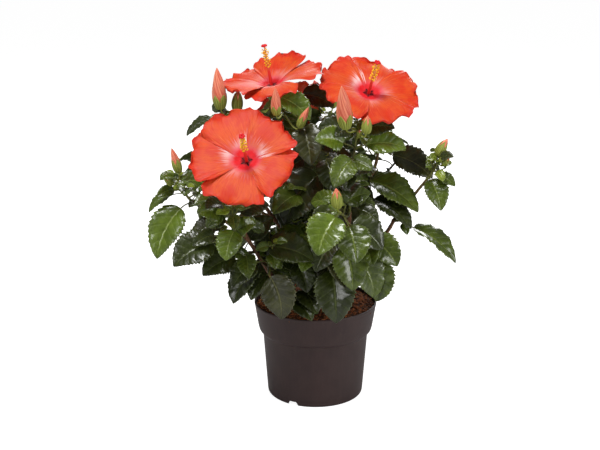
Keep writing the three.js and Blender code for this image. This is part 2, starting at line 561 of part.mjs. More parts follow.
// The leaves that the seeded rule adds: round the shoot by a steady turn, smaller and less
// drooping towards its tip
function fillLeaves(mass) {
  const random = randomFrom(mass.seed);
  const first = 360 * random();
  return Array.from({ length: mass.fill }, (_, i) => {
    const way = mass.fill > 1 ? i / (mass.fill - 1) : 0.5;
    const at = lerp(0.2, 1, way);
    const foot = mass.curve.getPoint(at);
    const heading = first + 137.5 * i + 30 * (random() - 0.5);
    const length = mass.size * lerp(1.08, 0.72, way) * lerp(0.88, 1.12, random());
    const pitch = lerp(-50, -14, way) + 26 * (random() - 0.5);
    const petiole = length * LEAF.petioleRatio * lerp(0.8, 1.3, random());
    const rise = pitch + LEAF.bend / 2 + LEAF.arch;
    return { foot, lead: mass.curve.getTangent(at), base: foot.clone().addScaledVector(direction(heading, rise), petiole),
      heading, pitch, length, light: lightOn(mass, random) };
  });
}

// Bud: a stalk from a joint of its own, and the furled petals standing out of their green cup
function budOn(mass, [x, y, z, heading, rise, length], index) {
  const foot = mass.curve.getPoint(BUD.joint - BUD.jointStep * index);
  const base = mass.curve.getPoint(1).add(vec([x, y, z]));
  const axis = direction(heading, rise);
  const reach = foot.distanceTo(base);
  const stalk = new THREE.CubicBezierCurve3(foot, foot.clone().addScaledVector(mass.curve.getTangent(1), 0.3 * reach),
    base.clone().addScaledVector(axis, -0.4 * reach), base.clone().addScaledVector(axis, 1));
  const half = (length * BUD.widthRatio) / 2;
  const body = (t) => half * Math.max(0.1, Math.sin(Math.PI * Math.min(1, 0.12 + 0.88 * t) ** 0.62) ** 0.8);
  const solids = [
    bar(stalk, () => BUD.stalkRadius, 3, BUD.stalkSteps),
    bar(new THREE.LineCurve3(base, base.clone().addScaledVector(axis, length)), body, BUD.sides, 4),
  ];
  for (const solid of solids) place(mass.name, 'bud', solid);
  mass.parts.push(...solids);
}

// Assembly: wood first, then flowers, then every mass's shoot, buds, leaves that stand out and
// the rest of its leaves, so what matters most finds its place first

const group = new THREE.Group();

const potSolid = pot();
const soilSolid = substrate();
place('pot', 'pot', potSolid);
place('substrate', 'pot', soilSolid);
group.add(meshFrom('pot', potSolid, PAINT.pot), meshFrom('substrate', soilSolid, PAINT.substrate));

for (const spec of LIMBS) group.add(meshFrom(spec.name, limb(spec), PAINT.bark));
for (const bloom of BLOOMS) group.add(meshFrom(bloom.name, flower(bloom), PAINT.petal));

const masses = MASSES.map((mass, index) => {
  const start = carriers.get(mass.on).curve.getPoint(mass.at ?? 1);
  const curve = curveThrough(start, vec(mass.by), vec(mass.tip));
  const shoot = grow(mass.name, curve, (t) => lerp(SHOOT.root, SHOOT.tip, t), SHOOT.sides, SHOOT.steps);
  place(mass.name, 'wood', shoot);
  return { ...mass, seed: 17 + 7 * index, curve, parts: [shoot], count: 0, missed: 0 };
});
for (const mass of masses) mass.buds.forEach((bud, index) => budOn(mass, bud, index));
for (const mass of masses) for (const leaf of statedLeaves(mass)) tryLeaf(mass, leaf);
for (const mass of masses) for (const leaf of fillLeaves(mass)) tryLeaf(mass, leaf);
for (const mass of masses) {
  const mesh = meshFrom(mass.name, mainBody(Manifold.union(mass.parts)), PAINT.foliage);
  mesh.userData = { leaves: mass.count, missed: mass.missed };
  group.add(mesh);
}

export default group;
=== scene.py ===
"""Potted hibiscus shrub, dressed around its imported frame: the pot and its bark mix, woody stems
and boughs, open flowers, and masses of toothed leaves with their shoots and buds."""

import math

import bmesh
import bpy
import numpy as np
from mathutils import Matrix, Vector, noise
from mathutils.bvhtree import BVHTree


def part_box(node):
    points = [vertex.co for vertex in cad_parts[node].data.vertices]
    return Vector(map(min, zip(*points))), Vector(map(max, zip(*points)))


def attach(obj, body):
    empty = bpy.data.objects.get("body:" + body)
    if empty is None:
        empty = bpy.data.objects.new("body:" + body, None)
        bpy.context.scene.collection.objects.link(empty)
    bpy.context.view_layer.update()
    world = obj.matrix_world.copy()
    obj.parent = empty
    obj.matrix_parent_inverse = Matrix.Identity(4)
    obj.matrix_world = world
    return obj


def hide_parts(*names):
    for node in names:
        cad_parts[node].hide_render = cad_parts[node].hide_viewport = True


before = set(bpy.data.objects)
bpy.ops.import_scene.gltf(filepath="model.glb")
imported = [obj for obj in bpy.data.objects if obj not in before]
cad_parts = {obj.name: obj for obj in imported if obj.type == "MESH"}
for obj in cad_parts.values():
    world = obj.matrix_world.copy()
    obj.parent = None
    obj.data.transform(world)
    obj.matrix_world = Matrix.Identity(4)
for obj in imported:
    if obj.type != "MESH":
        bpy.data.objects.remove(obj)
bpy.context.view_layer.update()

# Pot
# A nursery pot, injection moulded in matt taupe plastic: one thin wall with a deep rim band over
# a rounded shoulder, a smooth tapering body, and a skirt with three foot notches for drainage.

MM = 0.001  # sizes in this script are in millimetres, and meshes are in metres

POT_HEIGHT, RIM_RADIUS, BASE_RADIUS = 133, 85, 66.7
BAND_FOOT, BAND_FOOT_RADIUS = 97, 79.7
NECK_HEIGHT, NECK_RADIUS = 89, 73.2
WALL, FLOOR, PAD_RADIUS = 2, 6, 24
POT_SIDES = 160
NOTCHES, NOTCH_WIDTH, NOTCH_HEIGHT, FIRST_NOTCH, NOTCH_CUT = 3, 15, 5.5, -118, 8
HALF_ARCH = [(0.62, -1), (0.5, 0.2), (0.38, 0.84), (0.3, 1)]  # in shares of a notch's width and height
DRAINS, DRAIN_RADIUS, DRAIN_CIRCLE, DRAIN_CUT = 6, 5, 46, 5
CREASE = 32


def srgb(red, green, blue):
    """A colour as a screen shows it, from 0 to 255, as the linear colour that a shader takes."""
    shown = [value / 255 for value in (red, green, blue)]
    return (*[c / 12.92 if c < 0.04045 else ((c + 0.055) / 1.055) ** 2.4 for c in shown], 1)


def put(name, data):
    """A new object of the scene that shows this mesh, lamp or camera."""
    made = bpy.data.objects.new(name, data)
    bpy.context.scene.collection.objects.link(made)
    return made


def flat(heading):
    """The level direction of a heading in degrees, counted from +X."""
    return np.array([math.cos(math.radians(heading)), math.sin(math.radians(heading)), 0.0])


def direction(heading, rise):
    """The direction of a heading that rises by so many degrees."""
    return flat(heading) * math.cos(math.radians(rise)) + [0, 0, math.sin(math.radians(rise))]


def turns_round(sides):
    """The angles of points spaced evenly round a ring."""
    return np.arange(sides) * 2 * np.pi / sides


def new_node(tree, kind, settings=(), inputs=()):
    """A node with its settings made, then its inputs, each a value or the socket that feeds it."""
    made = tree.nodes.new(kind)
    for key, value in dict(settings).items():
        setattr(made, key, value)
    for key, value in dict(inputs).items():
        if isinstance(value, Wire):
            value = value.socket
        if isinstance(value, bpy.types.NodeSocket):
            tree.links.new(value, made.inputs[key])
        else:
            made.inputs[key].default_value = value
    return made


class Wire:
    """One socket of a material's nodes. Sums on it add Math nodes, and node() adds any other."""

    def __init__(self, tree, socket=None):
        self.tree, self.socket = tree, socket

    def node(self, kind, settings=(), inputs=(), output=0):
        made = new_node(self.tree, "ShaderNode" + kind, settings, inputs)
        return Wire(self.tree, made.outputs[output])

    def math(self, operation, first, second=0.0):
        return self.node("Math", {"operation": operation}, {0: first, 1: second})

    def __add__(self, other):
        return self.math("ADD", self, other)

    def __sub__(self, other):
        return self.math("SUBTRACT", self, other)

    def __rsub__(self, other):
        return self.math("SUBTRACT", other, self)

    def __mul__(self, other):
        return self.math("MULTIPLY", self, other)

    def __pow__(self, other):
        return self.math("POWER", self, other)

    def __abs__(self):
        return self.math("ABSOLUTE", self)

    __radd__, __rmul__ = __add__, __mul__

    def sine(self):
        return self.math("SINE", self)

    def fade(self, low, high):
        """0 below low and 1 above high, with a soft step between; high may be the lower one."""
        return self.node("MapRange", {"interpolation_type": "SMOOTHSTEP"}, {0: self, 1: low, 2: high})

    def blend(self, none, full):
        """The colour none where this is 0, and full where it is 1."""
        return self.node("Mix", {"data_type": "RGBA"}, {0: self, 6: none, 7: full}, 2)

    def ramp(self, *stops):
        """The colour between the stops, each a place from 0 to 1 with its colour."""
        made = new_node(self.tree, "ShaderNodeValToRGB", (), {0: self})
        ramp = made.color_ramp.elements
        while len(ramp) < len(stops):
            ramp.new(0.5)
        for stop, (place, colour) in zip(ramp, stops):
            stop.position, stop.color = place, colour
        return Wire(self.tree, made.outputs[0])

    def spot(self):
        """Where a point lies on its object, in metres."""
        return self.node("TexCoord", output="Object")

    def place(self):
        """Where a point lies across and along the petal, leaf or limb that it is on, from 0 to 1."""
        return self.node("UVMap", {"uv_map": "place"})

    def noise(self, scale, detail=2.0, roughness=0.5):
        """Cloudy noise from 0 to 1 on this place."""
        return self.node("TexNoise", (), {
            "Vector": self, "Scale": scale, "Detail": detail, "Roughness": roughness})

    def cells(self, scale):
        """Rounded cells: the way to the nearest of many scattered points."""
        return self.node("TexVoronoi", {"feature": "SMOOTH_F1"}, {
            "Vector": self, "Scale": scale, "Smoothness": 0.4})

    def stretched(self, *scale):
        """This place with each of its numbers multiplied by its own factor."""
        return self.node("VectorMath", {"operation": "MULTIPLY"}, {0: self, 1: scale})

    def part(self, axis):
        """One number of a place: 0 for X, 1 for Y or 2 for Z."""
        return self.node("SeparateXYZ", (), {0: self}, axis)

    def relief(self, depth):
        """The normal of a surface with this height, whose full height is depth millimetres."""
        return self.node("Bump", (), {"Height": self, "Strength": 1.0, "Distance": depth * MM})


def new_finish(name, **sockets):
    """A material whose shader has these fixed values, and a first Wire to build on."""
    material = bpy.data.materials.new(name)
    material.use_nodes = True
    shader = material.node_tree.nodes["Principled BSDF"]
    for key, value in sockets.items():
        shader.inputs[key.replace("_", " ")].default_value = value
    return material, Wire(material.node_tree)


def feed(material, **wires):
    """Joins wires to the sockets of a material's shader."""
    shader = material.node_tree.nodes["Principled BSDF"]
    for key, wire in wires.items():
        material.node_tree.links.new(wire.socket, shader.inputs[key.replace("_", " ")])


def skin(rings):
    """A closed body round rings of points, each ring turning the same way, with both ends capped."""
    rings = np.asarray(rings, float)
    count, sides = rings.shape[:2]
    first, last = count * sides, count * sides + 1
    here = np.arange(count * sides).reshape(count, sides)
    beside = np.roll(here, -1, axis=1)
    walls = np.dstack([here[:-1], beside[:-1], beside[1:], here[1:]])
    faces = [tuple(face) for face in walls.reshape(-1, 4).tolist()]
    faces += [(first, b, a) for a, b in zip(here[0].tolist(), beside[0].tolist())]
    faces += [(last, a, b) for a, b in zip(here[-1].tolist(), beside[-1].tolist())]
    points = np.vstack([rings.reshape(-1, 3), rings[0].mean(0), rings[-1].mean(0)])
    return points, faces


def turned(profile, sides):
    """A body turned about Z from [radius, height] pairs, which start and end beside the axis."""
    turns = turns_round(sides)
    return skin([np.column_stack([r * np.cos(turns), r * np.sin(turns), np.full(sides, z)])
                 for r, z in profile])


class Batch:
    """Like things gathered and joined into one mesh object."""

    def __init__(self):
        self.points, self.faces, self.slots, self.marks, self.count = [], [], [], [], 0

    def add(self, shape, slots=0, marks=None):
        """slots is a material number for all faces or one for each; marks is a pair for each point."""
        points, faces = shape
        self.points.append(points)
        self.marks.append(np.zeros((len(points), 2)) if marks is None else marks)
        self.faces.extend([tuple(i + self.count for i in face) for face in faces])
        self.slots.extend([slots] * len(faces) if isinstance(slots, int) else slots)
        self.count += len(points)

    def piece(self, name, materials):
        """The gathered things as one object of the scene, with their marks as its place map."""
        mesh = bpy.data.meshes.new(name)
        mesh.from_pydata(np.vstack(self.points) * MM, [], self.faces)
        for material in materials:
            mesh.materials.append(material)
        mesh.polygons.foreach_set("material_index", self.slots)
        corners = np.zeros(len(mesh.loops), np.int32)
        mesh.loops.foreach_get("vertex_index", corners)
        marks = mesh.uv_layers.new(name="place")
        marks.uv.foreach_set("vector", np.vstack(self.marks)[corners].astype(np.float32).ravel())
        mesh.shade_smooth()
        return put(name, mesh)


def settle(made):
    """Makes what an object's modifiers show its own mesh, and removes them."""
    graph = bpy.context.evaluated_depsgraph_get()
    mesh = bpy.data.meshes.new_from_object(made.evaluated_get(graph))
    made.modifiers.clear()
    made.data = mesh
    return made


def rounded(outline, steps=5):
    """An outline of [radius, height, rounding] corners, with an arc in place of each rounded one."""
    points = []
    for k, (r, z, rounding) in enumerate(outline):
        corner = np.array([r, z], float)
        if not rounding:
            points.append(corner)
            continue
        ends = [np.array(outline[k + step][:2], float) - corner for step in (-1, 1)]
        before, after = [corner + end * min(0.48, rounding / np.linalg.norm(end)) for end in ends]
        for t in np.linspace(0, 1, steps):
            points.append(before * (1 - t) ** 2 + corner * 2 * t * (1 - t) + after * t * t)
    return points


def body_ring(height):
    """A plain ring on the tapering body, which keeps the shading even beside the notches."""
    return [BASE_RADIUS + (NECK_RADIUS - BASE_RADIUS) * height / NECK_HEIGHT, height, 0]


pot_outline = [
    [0.5, 0, 0], [PAD_RADIUS, 0, 1], [PAD_RADIUS + 3, FLOOR, 1], [BASE_RADIUS - WALL, FLOOR, 1.5],
    [BASE_RADIUS - WALL - 0.2, 0, 0.5], [BASE_RADIUS - 1.2, 0, 0.6], [BASE_RADIUS, 1.6, 1.2],
    *[body_ring(height) for height in (7, 9, 14, 30, 50, 70)],
    [NECK_RADIUS, NECK_HEIGHT, 2.2], [BAND_FOOT_RADIUS - 1.6, BAND_FOOT - 4.2, 3.4],
    [BAND_FOOT_RADIUS, BAND_FOOT + 2, 6], [RIM_RADIUS - 0.4, POT_HEIGHT - 3.4, 0.8],
    [RIM_RADIUS, POT_HEIGHT - 2.6, 0.6], [RIM_RADIUS, POT_HEIGHT, 0.9],
    [RIM_RADIUS - WALL - 0.2, POT_HEIGHT, 0.9], [BAND_FOOT_RADIUS - WALL, BAND_FOOT + 0.6, 4],
    [NECK_RADIUS - WALL, NECK_HEIGHT + 1, 3], [BASE_RADIUS - WALL + 0.5, FLOOR + WALL, 3],
    [PAD_RADIUS + 1.4, FLOOR + WALL, 1], [PAD_RADIUS - 1.4, WALL, 1], [0.5, WALL, 0],
]

pot_finish, start = new_finish("pot_plastic", Specular_IOR_Level=0.35)
spot = start.spot()
tone = spot.noise(38, 3) * 0.6 + spot.stretched(1, 1, 0.12).noise(260, 2) * 0.4
scuffs = spot.stretched(1, 1, 0.35).noise(90, 5, 0.7).fade(0.6, 0.78)
grain = spot.cells(1500)
plastic = tone.fade(0.3, 0.7).blend(srgb(50, 34, 33), srgb(58, 41, 39))
feed(pot_finish, Base_Color=(scuffs * 0.2).blend(plastic, srgb(88, 77, 73)),
     Roughness=0.46 + tone * 0.12 + scuffs * 0.12, Normal=(grain * 0.6 + tone * 0.4).relief(0.06))

pot_batch = Batch()
pot_batch.add(turned(rounded(pot_outline), POT_SIDES))
pot = pot_batch.piece("nursery_pot", [pot_finish])

cutter_batch = Batch()
arch = HALF_ARCH + [(-x, z) for x, z in HALF_ARCH[::-1]]
up = np.array([0, 0, NOTCH_HEIGHT])
for k in range(NOTCHES):
    ahead = flat(FIRST_NOTCH + 360 * k / NOTCHES)
    aside = np.array([-ahead[1], ahead[0], 0])
    ends = [[ahead * reach + aside * x * NOTCH_WIDTH + up * z for x, z in arch]
            for reach in (BASE_RADIUS - NOTCH_CUT, BASE_RADIUS + NOTCH_CUT)]
    cutter_batch.add(skin(ends))
for k in range(DRAINS):
    points, faces = turned([[DRAIN_RADIUS, FLOOR - DRAIN_CUT], [DRAIN_RADIUS, FLOOR + DRAIN_CUT]], 24)
    cutter_batch.add((points + DRAIN_CIRCLE * flat(360 * (k + 0.5) / DRAINS), faces))
cutters = cutter_batch.piece("pot_cutters", [pot_finish])
openings = pot.modifiers.new("openings", "BOOLEAN")
openings.operation, openings.object, openings.solver = "DIFFERENCE", cutters, "EXACT"
settle(pot)
pot.data.set_sharp_from_angle(angle=math.radians(CREASE))
bpy.data.objects.remove(cutters)

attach(pot, "root")
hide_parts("pot")

# Substrate
# A coarse potting mix of shredded bark and coir, filled loose into the pot to just under its
# rim: a dark crumbly bed with reddish chips and straw-coloured fibres lying every way on it.

SOIL_TOP, SOIL_RIM_DROP, LUMP = 131, 3, 1.6
BED_SIDES, BED_RINGS = 120, 34
SOIL_COLOURS = {
    "dark": (srgb(50, 27, 13), srgb(92, 50, 25)),
    "russet": (srgb(108, 58, 29), srgb(156, 90, 50)),
    "straw": (srgb(150, 98, 56), srgb(190, 140, 90)),
}


def lumps(point, size, seed=0.0):
    """Smooth noise from about -1 to 1 at this place, with lumps of about this size."""
    return noise.noise(Vector(point) / size + Vector((seed, seed * 1.7, -seed)))


def soil_finish(name, dark, light):
    """Crumbly and fibrous matter between two colours."""
    material, start = new_finish(name, Roughness=0.93, Specular_IOR_Level=0.25)
    spot = start.spot()
    fibre = spot.stretched(1, 0.25, 1).noise(900, 4, 0.7)
    crumb = spot.noise(300, 3)
    feed(material, Base_Color=(crumb * 0.5 + fibre * 0.5).fade(0.35, 0.65).blend(dark, light),
         Normal=(fibre * 0.6 + crumb * 0.4).relief(0.8))
    return material


soil_finishes = {name: soil_finish("bark_mix_" + name, *pair) for name, pair in SOIL_COLOURS.items()}

bed_radius = BAND_FOOT_RADIUS - WALL - 0.4 + (RIM_RADIUS - BAND_FOOT_RADIUS) * 0.85
rings = [[1, FLOOR + WALL + 0.3], [BASE_RADIUS - WALL, FLOOR + WALL + 0.3],
         [NECK_RADIUS - WALL - 0.5, NECK_HEIGHT + 1.5], [BAND_FOOT_RADIUS - WALL - 0.5, BAND_FOOT + 1]]
rings += [[r, SOIL_TOP - SOIL_RIM_DROP * (r / bed_radius) ** 4]
          for r in np.linspace(bed_radius, 1.5, BED_RINGS)]
points, faces = turned(rings, BED_SIDES)
bed_edge = SOIL_TOP - 2 * SOIL_RIM_DROP
for point in points:
    if point[2] > bed_edge:
        point[2] += LUMP * lumps(point, 9) + 0.6 * LUMP * lumps(point, 3.5, 4.0)
soil_batch = Batch()
soil_batch.add((points, faces))

top_batch = Batch()
on_top = points[:, 2] > bed_edge
top_batch.add((points, [face for face in faces if on_top[list(face)].all()]))
soil_top = top_batch.piece("soil_top", [soil_finishes["dark"]])


class Growth:
    """A geometry tree with named inputs, which sets copies of a small part on points."""

    def __init__(self, name, sockets):
        self.tree = bpy.data.node_groups.new(name, "GeometryNodeTree")
        added = self.tree.interface.new_socket
        for label, kind in sockets.items():
            added(name=label, in_out="INPUT", socket_type="NodeSocket" + kind)
        added(name="Result", in_out="OUTPUT", socket_type="NodeSocketGeometry")
        self.given = self.tree.nodes.new("NodeGroupInput").outputs

    def node(self, kind, settings=(), inputs=()):
        """The outputs of a new node."""
        return new_node(self.tree, kind, settings, inputs).outputs

    def math(self, operation, *values):
        return self.node("ShaderNodeMath", {"operation": operation}, dict(enumerate(values)))[0]

    def random(self, low, high):
        """A number for each point, which the given seed draws."""
        return self.node("FunctionNodeRandomValue", {"data_type": "FLOAT"}, {
            2: low, 3: high, 8: self.given["Seed"]})[1]

    def scatter(self, points, part, turn, scale):
        """Ends the tree: the part on each point, as a real mesh with the given finish."""
        copied = self.node("GeometryNodeObjectInfo", (), {"Object": part, "As Instance": True})
        spread = self.node("GeometryNodeInstanceOnPoints", (), {
            "Points": points, "Instance": copied["Geometry"], "Rotation": turn, "Scale": scale})
        real = self.node("GeometryNodeRealizeInstances", (), {"Geometry": spread[0]})
        done = self.node("GeometryNodeSetMaterial", (), {
            "Geometry": real[0], "Material": self.given["Finish"]})
        self.tree.links.new(done[0], self.tree.nodes.new("NodeGroupOutput").inputs[0])

    def grown(self, carrier, values):
        """What the tree makes on the carrier with these input values, as a plain mesh object."""
        made = put(carrier.name + "_grown", carrier.data)
        modifier = made.modifiers.new("grow", "NODES")
        modifier.node_group = self.tree
        for socket in self.tree.interface.items_tree:
            if socket.name in values:
                modifier[socket.identifier] = values[socket.name]
        return settle(made)


chip_growth = Growth("chips_on_bed", {
    "Bed": "Geometry", "Chip": "Object", "Per Area": "Float", "Seed": "Int",
    "Smallest": "Float", "Largest": "Float", "Finish": "Material"})
given = chip_growth.given
laid = chip_growth.node("GeometryNodeDistributePointsOnFaces", (), {
    "Mesh": given["Bed"], "Density": given["Per Area"], "Seed": given["Seed"]})
turning = chip_growth.node("FunctionNodeRandomValue", {"data_type": "FLOAT_VECTOR"}, {
    0: (-0.5, -0.5, 0), 1: (0.5, 0.5, 2 * math.pi), 8: given["Seed"]})
chip_growth.scatter(laid["Points"], given["Chip"], turning[0],
                    chip_growth.random(given["Smallest"], given["Largest"]))


def flake(name, length, width, thickness, seed):
    """A ragged flake of twenty faces round the origin."""
    shape = bmesh.new()
    bmesh.ops.create_icosphere(shape, subdivisions=1, radius=1)
    for vertex in shape.verts:
        vertex.co *= 1 + 0.4 * lumps(vertex.co * 10, 6, seed)
        x, y, z = vertex.co
        vertex.co = Vector((x * length, y * width, z * thickness)) * MM / 2
    mesh = bpy.data.meshes.new(name)
    shape.to_mesh(mesh)
    shape.free()
    return put(name, mesh)


CHIP_KINDS = {  # finish, length, width, thickness, number in a square metre, least and greatest scale
    "chip_dark": ("dark", 5, 3, 2, 52000, 0.5, 1.3),
    "chip_russet": ("russet", 6, 2.6, 1.5, 60000, 0.5, 1.5),
    "chip_broad": ("russet", 8, 5, 2, 9000, 0.6, 1.4),
    "fibre": ("straw", 7, 0.7, 0.6, 26000, 0.5, 1.5),
}
chips = []
for seed, (name, kind) in enumerate(CHIP_KINDS.items()):
    tint, length, width, thickness, number, smallest, largest = kind
    shape = flake(name, length, width, thickness, seed + 1)
    chips.append(chip_growth.grown(soil_top, {
        "Chip": shape, "Per Area": float(number), "Seed": seed + 3, "Smallest": smallest,
        "Largest": largest, "Finish": soil_finishes[tint]}))
    bpy.data.objects.remove(shape)
bpy.data.objects.remove(soil_top)

substrate = soil_batch.piece("bark_mix_bed", [soil_finishes["dark"]])
for k, made in enumerate(chips):
    made.name = f"bark_mix_chips_{k + 1}"
    made.data.shade_flat()
for made in (substrate, *chips):
    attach(made, "root")
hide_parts("substrate")

# Stems and boughs
# Woody hibiscus limbs: brown bark, finely furrowed along the limb, ringed with old leaf scars
# and dotted with pale lenticels. Each bough swells into a collar where it leaves its carrier.

STEM_GAP, STEM_DEPTH, LIMB_SIDES, RING_STEP = 0.3, 7, 22, 1.8
FLARE, FLARE_REACH, COLLAR, COLLAR_REACH = 0.7, 0.05, 0.45, 5
FURROW, PORE, SCAR, SCAR_STEP, SCAR_REACH = 0.16, 0.14, 0.16, 13, 1.3
YOUNG_RADIUS, OLD_RADIUS = 1.4, 4.6

LIMBS = {  # foot on the bed or [carrier, way along it], a point midway, tip, and the two radii
    "stem_left": ([-37, -26], [-62, -56, 190], [-91, -88, 249], [3.5, 2.5]),
    "stem_main": ([7, 4], [10, 2, 160], [10, -2, 196], [6.2, 4.9]),
    "stem_back": ([-10, 36], [-16, 52, 186], [-20, 62, 236], [4.2, 3.1]),
    "bough_far_left": (["stem_left", 0.97], [-122, -72, 268], [-154, -52, 282], [2.2, 1.7]),
    "bough_front_left": (["stem_left", 1], [-95, -90, 270], [-96, -86, 296], [2.3, 1.8]),
    "bough_top_left": (["stem_main", 0.9], [-62, -18, 262], [-114, -30, 380], [3.4, 1.9]),
    "bough_top": (["stem_main", 0.98], [-47, 0, 284], [-62, 4, 372], [3.6, 2.2]),
    "bough_centre_right": (["stem_main", 0.94], [36, -44, 232], [43, -60, 276], [3.5, 2.5]),
    "bough_low_right": (["stem_main", 0.7], [72, -22, 213], [104, -30, 256], [3.4, 2.4]),
    "bough_right": (["bough_low_right", 0.98], [124, -27, 281], [147, -21, 309], [2.3, 1.8]),
    "bough_mid_right": (["stem_main", 0.99], [44, 8, 244], [68, 10, 294], [3.5, 2.6]),
    "bough_top_right": (["bough_mid_right", 0.99], [79, 10, 316], [84, 8, 342], [2.5, 2.0]),
    "bough_back_left": (["stem_back", 0.97], [-54, 78, 262], [-80, 86, 292], [2.7, 1.9]),
    "bough_back_top": (["stem_back", 0.99], [-20, 72, 280], [-16, 72, 326], [2.8, 2.0]),
    "bough_back_right": (["stem_back", 0.93], [24, 76, 256], [62, 84, 290], [2.7, 1.9]),
    "bough_side_left": (["stem_back", 0.85], [-70, 52, 242], [-116, 38, 276], [2.5, 1.8]),
}


class Curve:
    """A curve through Bezier handles, in millimetres."""

    def __init__(self, *handles):
        self.handles = np.array(handles, float)

    def at(self, way):
        """The point at this part of the way, or the points at several."""
        rows = list(self.handles)
        way = np.asarray(way, float)[..., None]
        while len(rows) > 1:
            rows = [a * (1 - way) + b * way for a, b in zip(rows, rows[1:])]
        return rows[0]

    def heading(self, way):
        """The direction in which the curve goes on here."""
        step = self.at(min(way + 1e-3, 1)) - self.at(max(way - 1e-3, 0))
        return step / np.linalg.norm(step)

    def length(self):
        return np.linalg.norm(np.diff(self.at(np.linspace(0, 1, 24)), axis=0), axis=1).sum()


def curve_through(start, by, tip):
    """A curve from start to tip that passes the point by midway."""
    start, by, tip = (np.array(p, float) for p in (start, by, tip))
    return Curve(start, 2 * by - (start + tip) / 2, tip)


def tube(path, radii, sides, relief=0.0):
    """A closed round bar along a path of points. relief is added to its radius, ring by ring."""
    path = np.asarray(path, float)
    leads = np.gradient(path, axis=0)
    leads /= np.linalg.norm(leads, axis=1)[:, None]
    across = np.cross(leads[0], [0.31, 0.95, 0.05])
    turns = turns_round(sides)
    cosines, sines = np.cos(turns)[:, None], np.sin(turns)[:, None]
    rings = []
    reach = np.broadcast_to(np.asarray(radii, float)[:, None] + relief, (len(path), sides))
    for centre, lead, radius in zip(path, leads, reach):
        across = across - lead * (across @ lead)
        across /= np.linalg.norm(across)
        rings.append(centre + radius[:, None] * (cosines * across + sines * np.cross(lead, across)))
    return skin(rings)


def bark_relief(along, turns, radius, seed):
    """Furrows that run along the limb, swellings at the leaf scars, and a few lenticels."""
    around = [(math.cos(a), math.sin(a)) for a in turns]
    furrows, pores = [
        np.array([[lumps((spin * x, spin * y, rise * d), size, first) for x, y in around]
                  for d in along])
        for spin, rise, size, first in ((3, 0.16, 0.9, seed), (4, 1.1, 0.8, seed + 9))]
    past_scar = (along[:, None] + seed * 5) % SCAR_STEP - 6
    scars = SCAR * radius[:, None] * np.exp(-(past_scar / SCAR_REACH) ** 2)
    return FURROW * (furrows - np.abs(furrows)) + scars + PORE * np.clip(pores - 0.35, 0, 1)


limb_curves = {}
bark_batch = Batch()
for seed, (name, (grows_on, by, tip, (thick, thin))) in enumerate(LIMBS.items()):
    rooted = name.startswith("stem")
    if rooted:
        begin = [*grows_on, SOIL_TOP + STEM_GAP]
    else:
        begin = limb_curves[grows_on[0]].at(grows_on[1])
    limb = limb_curves[name] = curve_through(begin, by, tip)
    count = int(limb.length() / RING_STEP)
    ways = np.linspace(0, 1, count)
    path = limb.at(ways)
    along = ways * limb.length()
    radius = thick + (thin - thick) * ways
    if rooted:  # flared at its foot, and down into the bark mix
        radius *= 1 + FLARE * np.exp(-ways / FLARE_REACH)
        path, along = np.vstack([path[0] - [0, 0, STEM_DEPTH], path]), np.append(-STEM_DEPTH, along)
        radius = np.append(radius[0], radius)
    else:
        radius *= 1 + COLLAR * np.exp(-along / COLLAR_REACH)
    relief = bark_relief(along, turns_round(LIMB_SIDES), radius, seed + 1)
    shape = tube(path, radius, LIMB_SIDES, relief)
    youth = np.clip((OLD_RADIUS - np.repeat(radius, LIMB_SIDES)) / (OLD_RADIUS - YOUNG_RADIUS), 0, 1)
    youth = np.append(youth, [youth[0], youth[-1]])
    bark_batch.add(shape, 0, np.column_stack([youth, youth]))

bark_finish, start = new_finish("woody_bark", Specular_IOR_Level=0.3)
spot = start.spot()
youth = start.place().part(0)
streak = spot.stretched(1, 1, 0.2).noise(700, 4, 0.65)
blotch = spot.noise(120, 3)
wood = streak.fade(0.3, 0.7).blend(srgb(74, 44, 30), srgb(142, 98, 72))
wood = (blotch.fade(0.5, 0.75) * 0.4).blend(wood, srgb(94, 80, 54))
shoot_skin = streak.fade(0.3, 0.7).blend(srgb(86, 70, 34), srgb(122, 108, 56))
feed(bark_finish, Base_Color=youth.fade(0.55, 1.0).blend(wood, shoot_skin),
     Roughness=0.68 + streak * 0.2, Normal=(streak * 0.7 + blotch * 0.3).relief(0.35))

limbs = bark_batch.piece("woody_limbs", [bark_finish])
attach(limbs, "root")
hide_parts(*LIMBS)

# Open flowers
# Five satin petals on a funnel, lapped like tiles, with pleated rays, a crinkled margin and a
# red throat in a pale halo. A long column through the throat carries the anthers and stigmas.

PETAL_REACH, PETAL_BASE, PETAL_HALF_WIDTH, PETAL_THICKNESS = 62, 2.5, 38, 0.5
THROAT_DEPTH, THROAT_REACH, BOWL_DEPTH = 30, 0.18, 11
RUFFLE, FULLEST = 2.2, 0.73
CRINKLE, SCALLOP, PLEAT, LAP_SHARE = 2.4, 0.032, 0.5, 0.42
CRINKLES = [(17, 1, 1), (37, 0.4, 2.3), (71, 0.12, 1)]  # number round the flower, height, and shift
CLAW, CLAW_PLACE, CLAW_REACH = 0.55, 0.05, 0.03
PETAL_ROWS, PETAL_COLUMNS, PETAL_CROWDING = 46, 33, 0.46 * math.pi  # columns crowd at the margins
COLUMN_LENGTH, COLUMN_RADIUS = 44, 2.4
ANTHERS, ANTHER_FOOT, ANTHER_SPAN, ANTHER_RISE, FILAMENT = 46, 12, 25, 0.55, 4.2
STEADY_TURN = 137.5  # degrees from one anther to the next, and from one leaf to the next
STYLES, STYLE_LENGTH, STYLE_SPREAD, STIGMA = 5, 6.5, 2.3, 2.0
CUP_DEPTH, CUP_LENGTH = 36, 27
# The foot is coloured with the darkest stop of the column's ramp, a near-black red that is painted
# shade, so the slits between the petals' claws read dark.
FOOT_PROFILE = [  # the closed foot behind the claws of the petals: radius and height
    [1.2, -36], [4.2, -31], [5.6, -24], [8.2, -16], [10.7, -12.7], [10.9, -11.7], [9.9, -11.1]]

